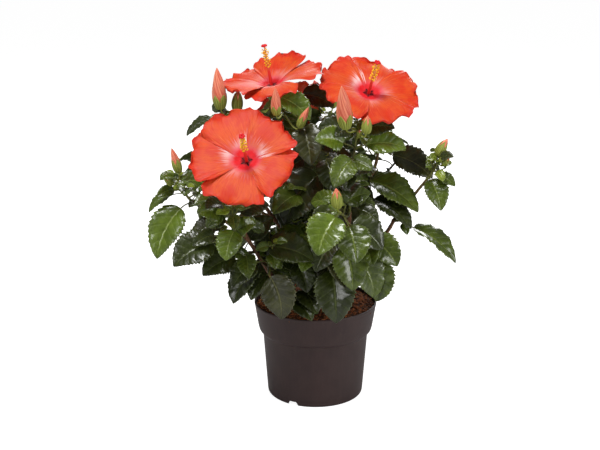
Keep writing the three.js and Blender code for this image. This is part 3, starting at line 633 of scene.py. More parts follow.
BLOOMS = {  # carrier, mouth, heading, rise, lap, and each petal's turn, hang, size and finish
    "bloom_front": ("bough_front_left", [-88.5, -120, 361.6], -95, 45, 2.6, [
        [111, -4, 1.07, 0], [45, -3, 0.94, 0], [-30, 4, 0.93, 1], [-107, 6, 1.03, 1],
        [178, -2, 1.05, 0]]),
    "bloom_top": ("bough_top", [-60.8, -10, 444], -138, 77, -3, [
        [4, -1, 1.07, 1], [76, -11, 1, 1], [147, 0, 0.94, 1], [209, -4, 0.98, 1], [273, 9, 0.95, 0]]),
    "bloom_right": ("bough_top_right", [69.5, -30, 434], -75, 54, 3, [
        [6, 2, 0.97, 1], [78, 9, 0.93, 1], [150, 5, 1, 0], [222, -2, 0.96, 1], [-64, 0, 0.97, 1]]),
    "bloom_back": ("bough_back_top", [-38.5, 84, 391], 120, 40, 6, [
        [20, 6, 0.86, 1], [92, 18, 0.8, 1], [164, 6, 0.86, 0], [236, 10, 0.9, 0], [308, 8, 0.88, 1]]),
}
PALE_ROOTS = {"petal_pale_root": 1.0, "petal_plain_root": 0.35}  # the two finishes of the petals


def smooth(value, low, high):
    """0 below low and 1 above high, with a soft step between."""
    part = np.clip((value - low) / (high - low), 0, 1)
    return part * part * (3 - 2 * part)


def flower_frame(mouth, heading, rise):
    """A function that sets points of a flower, drawn with its mouth at the origin, in its place."""
    axis = direction(heading, rise)
    right = np.array([1.0, 0, 0]) - axis * axis[0]
    right /= np.linalg.norm(right)
    frame_rows = np.array([right, np.cross(axis, right), axis])
    return lambda points: np.asarray(mouth, float) + np.asarray(points, float) @ frame_rows


def sheet_faces(rows, above, below):
    """Faces of a thin body: two grids that share their margins and both ends, one side at a time."""
    upper = np.arange(rows * above).reshape(rows, above)
    inner = rows * above + np.arange(rows * (below - 2)).reshape(rows, below - 2)
    lower = np.hstack([upper[:, :1], inner, upper[:, -1:]])
    root, tip = rows * (above + below - 2), rows * (above + below - 2) + 1
    faces, sides = [], []
    for side, grid in enumerate((upper.tolist(), lower.tolist())):
        for j in range(len(grid[0]) - 1):
            loops = [(a[j], b[j], b[j + 1], a[j + 1]) for a, b in zip(grid, grid[1:])]
            loops += [(root, grid[0][j], grid[0][j + 1]), (tip, grid[-1][j + 1], grid[-1][j])]
            faces += [loop[::-1] for loop in loops] if side else loops
        sides += [side] * (len(faces) - len(sides))
    return faces, sides


def sheet_points(grid, root, tip, above, below, kept=slice(None)):
    """The points that go with sheet_faces: the grid raised along its normals, and the same grid
    lowered, of which only the kept columns are used."""
    normals = np.cross(np.gradient(grid, axis=0), np.gradient(grid, axis=1))
    normals /= np.linalg.norm(normals, axis=2)[..., None] + 1e-12
    upper = grid + normals * above[..., None]
    upper[:, [0, -1]] = grid[:, [0, -1]]
    lower = (grid - normals * below[..., None])[:, kept][:, 1:-1]
    return np.vstack([upper.reshape(-1, 3), lower.reshape(-1, 3), root, tip])


def sheet_marks(u, v, kept=slice(None)):
    """For each point of a sheet, where it is across and along it."""
    across, along = np.meshgrid(v, u)
    both = np.dstack([across * 0.5 + 0.5, along])
    ends = [[0.5, 0], [0.5, 1]]
    return np.vstack([both.reshape(-1, 2), both[:, kept][:, 1:-1].reshape(-1, 2), ends])


def petal_points(u, v, lap, turn, hang, size):
    """Places on a petal of a flower whose mouth is at the origin and whose axis is Z."""
    u, v = np.atleast_2d(u), np.atleast_2d(v)
    radius = PETAL_BASE + PETAL_REACH * size * u
    across = v * size * PETAL_HALF_WIDTH * u ** 0.75 * np.sqrt(np.maximum(0, 1 - u ** 6)) / FULLEST
    across *= 1 - CLAW * np.exp(-(((u - CLAW_PLACE) / CLAW_REACH) ** 2))
    spread = (np.hypot(radius, across) - PETAL_BASE) / PETAL_REACH
    margin = 1 - (1 - v * v) * (1 - u ** 7)
    bearing = np.arctan2(across, radius)
    open_part = smooth(u, 0.3, 0.8)
    height = -BOWL_DEPTH * np.tanh(THROAT_DEPTH * np.exp(-spread / THROAT_REACH) / BOWL_DEPTH)
    height += LAP_SHARE * lap * v * u - hang * u ** 2 + RUFFLE * u ** 3 * np.sin(5.2 * v + turn)
    crinkles = sum(tall * np.sin(number * bearing + shift * turn) for number, tall, shift in CRINKLES)
    height += CRINKLE * size * margin ** 4 * open_part * crinkles
    height += PLEAT * np.sin(46 * bearing + turn) * smooth(u, 0.1, 0.4) * (1 - 0.5 * margin)
    scallops = np.sin(11 * bearing + 3.1 * turn) + 0.7 * np.sin(23 * bearing + turn)
    scallops += 0.35 * np.sin(47 * bearing + 2 * turn) * np.sin(7 * bearing + turn)
    grow = 1 + SCALLOP * margin ** 8 * open_part * scallops
    radius, across = PETAL_BASE + (radius - PETAL_BASE) * grow, across * grow
    out, side = flat(turn), flat(turn + 90)
    return radius[..., None] * out + across[..., None] * side + height[..., None] * np.array([0, 0, 1])


def petal_skin(name, pale):
    """A petal's finish: coral, redder at its margin, with fine rays, and pale round a red throat."""
    material, start = new_finish(name, Specular_IOR_Level=0.25, Subsurface_Weight=0.12,
                                 Subsurface_Scale=0.004, Sheen_Weight=0.03, Sheen_Roughness=0.5)
    spot = start.spot()
    place = start.place()
    across, along = (place.part(0) - 0.5) * 2, place.part(1)
    rays = place.stretched(34, 1.4, 1).noise(1.0, 3, 0.6)
    broad_rays = place.stretched(9, 0.8, 1).noise(1.0, 2)
    crepe = place.stretched(60, 9, 1).noise(1.0, 3)
    cloud = spot.noise(48, 2)
    edge = abs(across) ** 3 + along ** 5
    coral = cloud.fade(0.35, 0.65).blend(srgb(206, 50, 16), srgb(214, 76, 20))
    coral = (edge.fade(0.4, 1.5) * 0.75).blend(coral, srgb(204, 40, 26))
    coral = (rays.fade(0.52, 0.72) * along.fade(0.95, 0.4) * 0.6).blend(coral, srgb(232, 116, 60))
    coral = (rays.fade(0.48, 0.3) * 0.55).blend(coral, srgb(196, 34, 22))
    coral = (crepe.fade(0.5, 0.34) * 0.35).blend(coral, srgb(200, 38, 24))
    ring = along + across * across * 0.12
    lapped_half = (across + (cloud - 0.5) * 2).fade(0.5, -0.6)
    streaks = ring + (broad_rays - 0.5) * 0.4 + (rays - 0.5) * 0.8
    halo = streaks.fade(0.5, 0.26) * (lapped_half * 0.8 + 0.12) * pale
    colour = halo.blend(coral, srgb(248, 208, 206))
    colour = (ring.fade(0.33, 0.23) * 0.6).blend(colour, srgb(222, 62, 88))
    colour = (ring + (rays - 0.5) * 0.06).fade(0.25, 0.17).blend(colour, srgb(220, 24, 34))
    colour = along.fade(0.09, 0.03).blend(colour, srgb(120, 8, 20))
    feed(material, Base_Color=colour, Roughness=0.42 + cloud * 0.18,
         Normal=(rays * 0.6 + crepe * 0.4).relief(0.6))
    return material


petal_finishes = [petal_skin(name, pale) for name, pale in PALE_ROOTS.items()]

# The column darkens to near-black red at its foot, deep in the throat, which is painted shade in that
# recess. Higher up it is red, then pale orange toward its tip.
column_finish, start = new_finish("column_skin", Roughness=0.6, Specular_IOR_Level=0.3)
feed(column_finish, Base_Color=start.place().part(1).ramp(
    (0.0, srgb(60, 6, 8)), (0.26, srgb(206, 24, 24)), (0.52, srgb(228, 60, 50)),
    (0.85, srgb(240, 178, 120)), (1.0, srgb(236, 150, 104))))

stigma_finish, start = new_finish("stigma_velvet", Roughness=0.8)
velvet = start.spot().noise(1800, 2)
feed(stigma_finish, Base_Color=velvet.blend(srgb(200, 8, 20), srgb(230, 28, 34)))
pollen_finish, start = new_finish("pollen", Roughness=0.85)
grains = start.spot().noise(1500, 2)
feed(pollen_finish, Base_Color=grains.fade(0.35, 0.65).blend(srgb(248, 172, 14), srgb(255, 220, 56)))

anther_growth = Growth("anthers_round_column", {
    "Column": "Geometry", "Anther": "Object", "Count": "Int", "Foot": "Float", "Span": "Float",
    "Rise": "Float", "Seed": "Int", "Finish": "Material"})
given = anther_growth.given
index = anther_growth.node("GeometryNodeInputIndex")[0]
share = anther_growth.math("DIVIDE", index, given["Count"])
jitter = anther_growth.random(-0.35, 0.35)
height = anther_growth.math("MULTIPLY_ADD", share, given["Span"], given["Foot"])
place = anther_growth.node("ShaderNodeCombineXYZ", (), {2: height})[0]
dots = anther_growth.node("GeometryNodePoints", (), {"Count": given["Count"], "Position": place})[0]
bearing = anther_growth.math("MULTIPLY_ADD", index, math.radians(STEADY_TURN), jitter)
tilt = anther_growth.math("SUBTRACT", jitter, given["Rise"])
facing = anther_growth.node("ShaderNodeCombineXYZ", (), {1: tilt, 2: bearing})[0]
anther_growth.scatter(dots, given["Anther"], facing, anther_growth.random(0.8, 1.15))

anther_batch = Batch()
anther_batch.add(tube([[0, 0, 0], [FILAMENT / 2, 0, 0.2], [FILAMENT, 0, 0.5]], [0.28, 0.22, 0.2], 4))
arc = np.linspace(-1.1, 1.1, 5)
pod = np.column_stack([FILAMENT + 0.6 - 0.7 * np.cos(arc), 1.3 * np.sin(arc), 0.5 + 0 * arc])
anther_batch.add(tube(pod, [0.55, 0.85, 0.75, 0.85, 0.55], 6))
anther = anther_batch.piece("anther", [pollen_finish])
empty_column = bpy.data.objects.new("anthers", bpy.data.meshes.new("anthers"))

rows = 1 - (1 - np.linspace(0.012, 0.985, PETAL_ROWS)) ** 1.25
columns = np.sin(np.linspace(-1, 1, PETAL_COLUMNS) * PETAL_CROWDING) / math.sin(PETAL_CROWDING)
petal_faces = sheet_faces(PETAL_ROWS, PETAL_COLUMNS, PETAL_COLUMNS)[0]
petal_spots = []
for seed, (name, (_, mouth, heading, rise, lap, petals)) in enumerate(BLOOMS.items()):
    set_place = flower_frame(mouth, heading, rise)
    petal_batch = Batch()
    for turn, hang, size, finish in petals:
        grid = set_place(petal_points(rows[:, None], columns[None], lap, turn, hang, size))
        ends = [set_place(petal_points(u, 0.0, lap, turn, hang, size))[0] for u in (0.0, 1.0)]
        petal_spots.append(grid.reshape(-1, 3))
        half = np.full(grid.shape[:2], PETAL_THICKNESS / 2) * (1.6 - rows)[:, None]
        petal_batch.add((sheet_points(grid, *ends, half, half), petal_faces), finish,
                        sheet_marks(rows, columns))
    bloom = petal_batch.piece(name.replace("bloom", "petals"), petal_finishes)

    column_batch = Batch()
    ways = np.linspace(0, 1, 30)
    path = np.outer(ways * (COLUMN_LENGTH + THROAT_DEPTH - STYLE_LENGTH) - THROAT_DEPTH, [0, 0, 1])
    points, faces = tube(path, COLUMN_RADIUS * (1.1 - 0.55 * ways), 14)
    rising = (points[:, 2] + THROAT_DEPTH) / (COLUMN_LENGTH + THROAT_DEPTH)
    column_batch.add((set_place(points), faces), 0, np.column_stack([0 * rising, rising]))
    # The closed foot has no marks, so it takes the near-black red stop at the column's foot: painted
    # shade seen through the slits between the claws.
    points, faces = turned(FOOT_PROFILE, 24)
    column_batch.add((set_place(points), faces), 0)
    for k in range(STYLES):
        out = flat(360 * k / STYLES + 60 * seed)
        foot = np.array([0, 0, COLUMN_LENGTH - STYLE_LENGTH - 1])
        style = Curve(foot, foot + [0, 0, STYLE_LENGTH * 0.7],
                      foot + out * STYLE_SPREAD + [0, 0, STYLE_LENGTH])
        points, faces = tube(style.at(np.linspace(0, 1, 7)), np.linspace(0.6, 0.4, 7), 6)
        column_batch.add((set_place(points), faces), 0, np.full((len(points), 2), 0.95))
        dome = np.linspace(0.08, math.pi - 0.08, 8)
        path = style.at(1) - np.outer(STIGMA * 0.8 * np.cos(dome), [0, 0, 1])
        points, faces = tube(path, STIGMA * np.sin(dome), 10)
        column_batch.add((set_place(points), faces), 1)
    column = column_batch.piece(name.replace("bloom", "column"), [column_finish, stigma_finish])

    anthers = anther_growth.grown(empty_column, {
        "Anther": anther, "Count": ANTHERS, "Foot": ANTHER_FOOT * MM, "Span": ANTHER_SPAN * MM,
        "Rise": ANTHER_RISE, "Seed": seed + 1, "Finish": pollen_finish})
    anthers.name = name.replace("bloom", "anthers")
    points = np.zeros(len(anthers.data.vertices) * 3)
    anthers.data.vertices.foreach_get("co", points)
    anthers.data.vertices.foreach_set("co", (set_place(points.reshape(-1, 3) / MM) * MM).ravel())
    anthers.data.shade_smooth()

    for made in (bloom, column, anthers):
        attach(made, "root")
    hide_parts(name)
bpy.data.objects.remove(anther)
bpy.data.objects.remove(empty_column)

# Foliage
# Glossy dark leaves on slender petioles round each green shoot, toothed and quilted between
# their veins, and turned to the light. Buds stand on stalks at the shoots' tips.

SHOOT_ROOT, SHOOT_TIP = 2.1, 1.3
LEAF_BEND, LEAF_FOLD, LEAF_WAVE, LEAF_ARCH, LIGHT_RISE = 44, 13, 0.07, 24, 38
WIDTH_RATIO, BREADTH, PETIOLE_RATIO, JOINT_STEP = 0.335, 1.12, 0.42, 0.014
BLADE_FULL, BLADE_POINT = 2.48, 0.88  # how full a blade's outline is, and how drawn out to its tip
LEAF_THICKNESS, PUCKER, TOOTH = 0.5, 1.3, 0.075
TEETH = [(48, 12), (34, 10), (20, 8), (0, 5)]  # on each margin of a leaf longer than this
VEINS, VEIN_SLANT = 6.5, 0.26
BUD_JOINT, BUD_JOINT_STEP = 0.97, 0.03
SEPALS, BRACTS = 5, 7
BUD_KINDS = [  # longer than this: a bud's width and its cup's length, both as shares of its length
    (36, 0.335, 0.37), (29, 0.335, 0.56), (0, 0.5, 0.84)]
NEAR, PAST_BOX, OVER_SOIL = 1.3, 2, 3  # a leaf's way to its solid, past its box and over the mix
ROOM, EXTRA_TRIES, TWIG_TRIES, TWIG_LEAVES, TUFT = 5.0, 26, 5, 4, 2
EXTRA_SHARED, TWIG_SHARED, TUFT_SHARED = 0.04, 0.1, 0.5  # the share of its rooms others may hold
LEAF_COLUMNS = np.array([-1, -0.92, -0.7, -0.42, -0.14, 0, 0.14, 0.42, 0.7, 0.92, 1])
UNDER_COLUMNS = [0, 2, 3, 5, 7, 8, 10]
VIEWER = np.array([-21.5, -1419.5, 629.1])
GAP_SHARE = 0.1
OPEN_GAPS = np.array([  # x, z and reach of each gap, where it shows in the plane through the stems
    [-97, 219, 6], [-89, 207, 6], [-81, 196, 6], [-74, 185, 6], [-66, 173, 6], [46, 269, 5],
    [46, 255, 5], [86, 320, 8], [97, 328, 9], [108, 325, 9], [119, 316, 9], [129, 304, 8],
    [137, 297, 9], [76, 286, 7], [87, 280, 8], [98, 274, 8], [106, 267, 7], [38, 261, 7],
    [53, 254, 6], [81, 246, 6], [92, 243, 9], [99, 226, 8], [107, 220, 9], [110, 205, 9],
    [113, 191, 7], [121, 258, 8], [131, 249, 8], [-71, 259, 8], [-46, 281, 8], [0, 432, 8],
    [10, 424, 8], [-187, 278, 8], [-178, 256, 9], [-182, 238, 8], [181, 314, 9], [119, 375, 8],
    [73, 341, 8],
])
TRIES = [(turn, tilt) for turn in (0, 12, -12, 24, -24, 40, -40, 60, -60) for tilt in (0, 14, -14)]

# Each mass: the limb its shoot grows on and the way along it, a point by which the shoot goes, its
# tip, the heading it faces, and the number and size of its seeded leaves. Then the leaves that stand
# out (base, heading, pitch, length, and the rise of its upper side), their finishes, and the buds
# (place from the tip, heading, rise and length).
MASSES = {
    "leaves_far_left": dict(
        on="bough_far_left", by=[-168, -51, 292], tip=[-180, -50, 314], face=-100, fill=1, size=34,
        leaves=[[-177, -60, 280, -147, -60, 75], [-191, -50, 295, -160, -35, 37, 70],
                [-186, -55, 303, -144, -13, 27], [-178, -45, 312, 22, -13, 42],
                [-154, -56, 284, -156, 3, 25]],
        tones=[2, 1, 1, 1, 1], breadth=0.94,
        buds=[[1, 0, 11, 180, 75, 34], [-7, -8, -3, 205, 50, 19]]),
    "leaves_left_low": dict(
        on="stem_left", by=[-104, -103, 270], tip=[-112, -109, 290], face=-95, fill=2, size=40,
        leaves=[[-104, -124, 267, -121, -61, 40], [-120, -112, 287, -148, 6, 35],
                [-102, -118, 265, -15, 23, 30], [-96, -100, 283, 19, 13, 39],
                [-137, -70, 294, -152, -11, 24]],
        tones=[2, 1, 2, 3, 1], breadth=1.3),
    "leaves_left_under": dict(
        on="stem_left", at=0.8, by=[-102, -82, 228], tip=[-118, -84, 244], face=-100, fill=2, size=50,
        leaves=[[-133, -95, 244, -158, -27, 61], [-105, -85, 220, -160, -24, 50],
                [-130, -75, 261, -163, -26, 38], [-87, -75, 241, 26, 37, 44]],
        tones=[0, 0, 3, 0], breadth=1.22),
    "leaves_front_left": dict(
        on="stem_left", at=0.5, by=[-62, -76, 206], tip=[-60, -82, 232], face=-90, fill=2, size=50,
        leaves=[[-60, -100, 199, -23, -75, 60], [-75, -70, 208, -143, -49, 65, 78],
                [-63, -90, 236, -5, -17, 64], [-64, -90, 198, -151, -38, 40, 66],
                [-64, -60, 248, -128, -69, 40]],
        tones=[3, 0, 0, 0, 0], breadth=1.15),
    "leaves_front_low": dict(
        on="stem_main", at=0.5, by=[6, -36, 192], tip=[2, -62, 220], face=-90, fill=2, size=52,
        leaves=[[20, -85, 203, -77, -70, 71], [-35, -58, 157, -47, -28, 50],
                [-25, -70, 210, -52, -62, 44], [12, -65, 208, -57, -71, 42],
                [-18, -50, 164, -61, -44, 46], [-45, -25, 198, -64, -46, 44],
                [-4, -38, 178, -84, -43, 42]],
        tones=[0, 0, 0, 3, 0, 3, 0], breadth=1.15),
    "leaves_right_low": dict(
        on="stem_main", at=0.85, by=[40, -50, 212], tip=[60, -76, 244], face=-80, fill=3, size=56,
        leaves=[[36, -95, 238, -59, -70, 59], [53, -95, 223, -59, -69, 60],
                [75, -80, 213, -41, -70, 55], [72, -85, 244, -19, -44, 48],
                [76, -80, 219, -19, -33, 42], [25, -80, 242, -150, -52, 50]],
        tones=[1, 1, 1, 1, 1, 0], breadth=1.22),
    "leaves_front_middle": dict(
        on="bough_centre_right", by=[38, -88, 276], tip=[30, -106, 286], face=-90, fill=1, size=44,
        leaves=[[23, -125, 286, -134, -54, 56], [40, -115, 270, -70, -57, 50],
                [44, -110, 270, -23, -40, 52]],
        tones=[2, 1, 0], breadth=1.36,
        buds=[[-5, -19, 11, 250, 78, 27]]),
    "leaves_centre_right": dict(
        on="bough_centre_right", by=[46, -60, 330], tip=[52, -58, 380], face=-80, fill=2, size=44,
        leaves=[[44, -88, 350, -134, -43, 46], [12, -45, 341, -71, -54, 50], [63, -65, 365, 6, -7, 54],
                [34, -75, 369, -152, 9, 44], [30, -40, 388, -154, -13, 36], [37, -85, 293, 9, 20, 36],
                [53, -85, 285, -23, -27, 32], [45, -80, 347, -31, -19, 31],
                [44, -85, 334, -117, -56, 27]],
        tones=[1, 0, 2, 2, 1, 1, 0, 1, 0], breadth=1.12,
        buds=[[-16, -32, 11, 249, 72, 58], [9, -36, 5, 290, 78, 24], [2, -8, -4, 280, 70, 10]]),
    "leaves_middle": dict(
        on="stem_main", by=[4, -20, 244], tip=[-2, -20, 300], face=-100, fill=5, size=64,
        leaves=[[2, -32, 318, -158, -54, 80], [-8, -26, 232, -132, -72, 68],
                [-14, -14, 296, -150, -64, 68], [-42, -24, 246, -147, -60, 58],
                [8, -12, 214, -127, -59, 45], [-70, -16, 202, -67, -55, 40]],
        tones=[0, 0, 0, 0, 0, 3], breadth=1.2),
    "leaves_middle_high": dict(
        on="stem_main", at=0.9, by=[14, 22, 262], tip=[16, 12, 334], face=-92, fill=6, size=60,
        leaves=[[-27, 12, 298, -170, -63, 66], [20, 10, 288, -26, -69, 67], [8, 18, 341, -26, -56, 64],
                [-18, 26, 327, -160, -58, 58], [-14, 30, 271, -20, -54, 74]],
        tones=[0, 3, 0, 0, 3], breadth=1.15),
    "leaves_mid_right": dict(
        on="bough_mid_right", by=[72, -4, 300], tip=[82, -18, 322], face=-75, fill=2, size=44,
        leaves=[[72, -24, 308, -18, -30, 78, 62], [77, -30, 285, -27, -47, 66, 66],
                [106, 0, 287, -11, -31, 33]],
        tones=[1, 0, 0], breadth=1.0),
    "leaves_right_under": dict(
        on="bough_low_right", by=[112, -38, 258], tip=[122, -42, 264], face=-80, fill=2, size=38,
        leaves=[[131, -25, 244, -15, -38, 76, 84]],
        tones=[1], breadth=0.85),
    "leaves_far_right": dict(
        on="bough_right", by=[155, -20, 320], tip=[160, -19, 332], face=-80, fill=1, size=30,
        leaves=[[151, -25, 310, -56, -57, 46], [162, -25, 315, -16, -43, 27]],
        tones=[1, 1], breadth=1.1,
        buds=[[1, 4, 9, 0, 60, 26], [9, -1, -4, 340, 62, 16], [4, -3, 2, 320, 60, 8]]),
    "leaves_top_right": dict(
        on="bough_top_right", by=[88, -2, 352], tip=[88, -14, 366], face=-75, fill=3, size=44,
        leaves=[[104, 10, 336, -11, -29, 64]],
        tones=[3], breadth=1.0),
    "leaves_top_centre": dict(
        on="bough_top", by=[-52, -28, 386], tip=[-44, -44, 402], face=-90, fill=1, size=40,
        leaves=[[-18, -55, 388, -68, -60, 56], [-47, -50, 424, -34, -23, 50],
                [-18, -10, 421, 0, -21, 45], [-34, -55, 411, -119, -47, 36],
                [-63, -40, 418, -130, -43, 30]],
        tones=[3, 2, 3, 0, 1], breadth=1.1,
        buds=[[-7, -41, 5, 265, 74, 37], [21, -24, -14, 340, 64, 30]]),
    "leaves_top_left": dict(
        on="bough_top_left", by=[-115, -33, 388], tip=[-117, -37, 396], face=-110, fill=2, size=34,
        leaves=[[-132, -30, 392, -157, -26, 45, 72]],
        tones=[0], breadth=1.0,
        buds=[[-7, -3, 11, 231, 84, 54], [13, 12, 6, 0, 86, 28]]),
    "leaves_low_back_left": dict(
        on="stem_back", at=0.55, by=[-54, 70, 204], tip=[-82, 84, 240], face=130, fill=8, size=62),
    "leaves_low_back_right": dict(
        on="stem_back", at=0.6, by=[24, 80, 206], tip=[52, 96, 240], face=65, fill=8, size=62),
    "leaves_back_left": dict(
        on="bough_back_left", by=[-94, 92, 312], tip=[-104, 92, 340], face=120, fill=8, size=58,
        buds=[[-2, 6, 16, 120, 78, 42]]),
    "leaves_back_right": dict(
        on="bough_back_right", by=[80, 88, 310], tip=[92, 86, 342], face=60, fill=8, size=58,
        buds=[[3, 5, 16, 60, 76, 46]]),
    "leaves_back_top": dict(
        on="bough_back_top", by=[6, 78, 348], tip=[20, 72, 378], face=80, fill=8, size=54,
        buds=[[4, 3, 12, 30, 80, 32]]),
    "leaves_back_middle": dict(
        on="stem_back", by=[-21, 86, 262], tip=[-24, 110, 292], face=95, fill=8, size=60),
    "leaves_side_left": dict(
        on="bough_side_left", by=[-132, 36, 292], tip=[-142, 36, 314], face=180, fill=8, size=52,
        buds=[[-3, 2, 12, 170, 74, 28]]),
    "leaves_side_right": dict(
        on="bough_mid_right", by=[88, 26, 300], tip=[112, 38, 322], face=10, fill=8, size=54),
    "leaves_low_side_right": dict(
        on="stem_main", at=0.6, by=[38, 28, 206], tip=[72, 44, 238], face=0, fill=7, size=60),
}


def random_from(seed):
    """Repeatable random numbers from 0 to 1."""
    state = seed

    def draw():
        nonlocal state
        state = (state * 1664525 + 1013904223) % 2**32
        return state / 2**32

    return draw


def mixed(first, second, part):
    """The value or place that lies this part of the way from the first to the second."""
    return first + (second - first) * part


def light_on(mass, draw, rise=LIGHT_RISE):
    """The direction to which a leaf of this mass turns its upper side."""
    return direction(mass["face"] + 50 * (draw() - 0.5), rise + 24 * (draw() - 0.5))


def stated_leaves(mass, shoot, seed):
    """The leaves that stand out, each from its own joint on the nearest stretch of the shoot."""
    draw = random_from(seed + 500)
    found = []
    for index, (x, y, z, heading, pitch, length, *rise) in enumerate(mass.get("leaves", [])):
        base = np.array([x, y, z], float)
        nearest = min(np.arange(9) / 8, key=lambda way: np.linalg.norm(shoot.at(way) - base))
        way = max(0.26, nearest - 0.14) + JOINT_STEP * index
        found.append(dict(foot=shoot.at(way), lead=shoot.heading(way), base=base, heading=heading,
                          pitch=pitch, length=length, light=light_on(mass, draw, *rise), stated=True,
                          tone=mass["tones"][index], breadth=mass.get("breadth", BREADTH)))
    return found


def leaf_from(shoot, way, mass, draw, heading, pitch, length, petiole):
    """A leaf held out from its joint, this far along a shoot or twig."""
    base = shoot.at(way) + direction(heading, pitch + LEAF_BEND / 2 + LEAF_ARCH) * petiole
    return dict(foot=shoot.at(way), lead=shoot.heading(way), base=base, heading=heading, pitch=pitch,
                length=length, light=light_on(mass, draw), stated=False, breadth=BREADTH)


def fill_leaves(mass, shoot, seed):
    """The leaves that the seeded rule adds: round the shoot by a steady turn, smaller to its tip."""
    draw = random_from(seed)
    first = 360 * draw()
    found = []
    for i in range(mass["fill"]):
        part = i / (mass["fill"] - 1) if mass["fill"] > 1 else 0.5
        way = mixed(0.2, 1, part)
        heading = first + STEADY_TURN * i + 30 * (draw() - 0.5)
        length = mass["size"] * mixed(1.08, 0.72, part) * mixed(0.88, 1.12, draw())
        pitch = mixed(-50, -14, part) + 26 * (draw() - 0.5)
        petiole = length * PETIOLE_RATIO * mixed(0.8, 1.3, draw())
        found.append(leaf_from(shoot, way, mass, draw, heading, pitch, length, petiole))
    return found


def blade_frame(leaf, s):
    """The midrib, its sideways direction and its upper side at these parts of the blade's length."""
    begin, bend = math.radians(leaf["pitch"] + LEAF_BEND / 2), math.radians(LEAF_BEND)
    s = np.atleast_1d(s)
    now = begin - bend * s
    run, up = flat(leaf["heading"]), np.array([0, 0, 1.0])
    midrib = leaf["base"] + (leaf["length"] / bend) * (
        np.outer(math.sin(begin) - np.sin(now), run) + np.outer(np.cos(now) - math.cos(begin), up))
    ahead = np.outer(np.cos(now), run) + np.outer(np.sin(now), up)
    lift = leaf["light"] - ahead * (ahead @ leaf["light"])[:, None]
    lift /= np.linalg.norm(lift, axis=1)[:, None]
    return midrib, np.cross(lift, ahead), lift


def blade_grid(leaf, s, w, tooth=0.0):
    """Places on the blade's middle surface, row by row from margin to margin."""
    midrib, side, lift = blade_frame(leaf, s)
    s, w = np.asarray(s, float)[:, None], np.asarray(w, float)[None]
    outline = BLADE_FULL * np.sqrt(s) * (1 - s) ** BLADE_POINT
    width = leaf["length"] * WIDTH_RATIO * leaf["breadth"] * outline
    fold = math.radians(LEAF_FOLD)
    phase = leaf["length"]
    hollow = math.sin(fold) * np.abs(w) ** 1.25 + 0.05 * np.sin(np.pi * np.abs(w))
    rise = hollow + LEAF_WAVE * np.sin(9 * s + 2 * w + phase) * w**2
    rise = rise + 0.05 * np.sin(31 * s + 4 * w + 1.7 * phase) * w**4
    across = w * width * math.cos(fold) * (1 + tooth * np.abs(w) ** 7)
    raised = width * rise
    return midrib[:, None] + side[:, None] * across[..., None] + lift[:, None] * raised[..., None]


def tooth_rows(teeth):
    """Rows along a blade, three to a tooth, and how far the margin stands out at each."""
    ways, stand = [0.015, 0.05], [0.0, 0.0]
    for k in range(teeth):
        for part, out in ((0.0, -0.8), (0.45, 0.1), (0.82, 1.0)):
            ways.append(mixed(0.09, 0.975, ((k + part) / teeth) ** 0.94))
            stand.append(out * (0.75 + 0.5 * ((k * 0.618) % 1)))
    return np.array(ways + [0.987]), np.array(stand + [0.0])


def leaf_shape(leaf, teeth):
    """A leaf's blade as a closed thin body: quilted between the veins, with a rib beneath."""
    s, stand = tooth_rows(teeth)
    w = LEAF_COLUMNS
    grid = blade_grid(leaf, s, w, (TOOTH * stand * (1 - 0.4 * s))[:, None])
    tip = blade_frame(leaf, 1.0)[0][0]
    s, w = s[:, None], w[None]
    away = np.abs(w)
    vein = VEINS * (s - VEIN_SLANT * away * (1 - 0.45 * s)) + 0.25 * np.sign(w)
    scale = leaf["length"] / 60
    bulge = np.abs(np.sin(np.pi * vein)) ** 0.8 * np.sqrt(np.clip(4 * away * (1 - away), 0, 1))
    bulge = PUCKER * scale * bulge * smooth(s, 0.02, 0.2) * (1 - 0.5 * s)
    rib = np.exp(-((w / 0.08) ** 2)) * (1 - 0.7 * s)
    half = LEAF_THICKNESS / 2
    points = sheet_points(grid, leaf["base"], tip, half + bulge - 0.3 * scale * rib,
                          half - bulge + 0.9 * scale * rib, UNDER_COLUMNS)
    return points, sheet_marks(s[:, 0], w[0], UNDER_COLUMNS)


def leaf_spots(leaf):
    """A few places on the leaf, to tell how near it lies to others."""
    return blade_grid(leaf, np.linspace(0.06, 0.97, 7), [-1, -0.5, 0, 0.5, 1]).reshape(-1, 3)


def node_surface(name):
    """The surface of a CAD node as a search tree, in millimetres."""
    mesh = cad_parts[name].data
    return BVHTree.FromPolygons([vertex.co / MM for vertex in mesh.vertices],
                                [tuple(face.vertices) for face in mesh.polygons])


def as_built(leaf, surface):
    """The leaf turned and tilted as the frame holds it, or None where the frame left it out."""
    for turn, tilt in TRIES:
        tried = dict(leaf, heading=leaf["heading"] + turn, pitch=leaf["pitch"] + tilt)
        midrib = blade_frame(tried, [0.1, 0.4, 0.75, 1.0])[0]
        if all(surface.find_nearest(Vector(point))[3] < NEAR for point in midrib):
            return tried
    return None


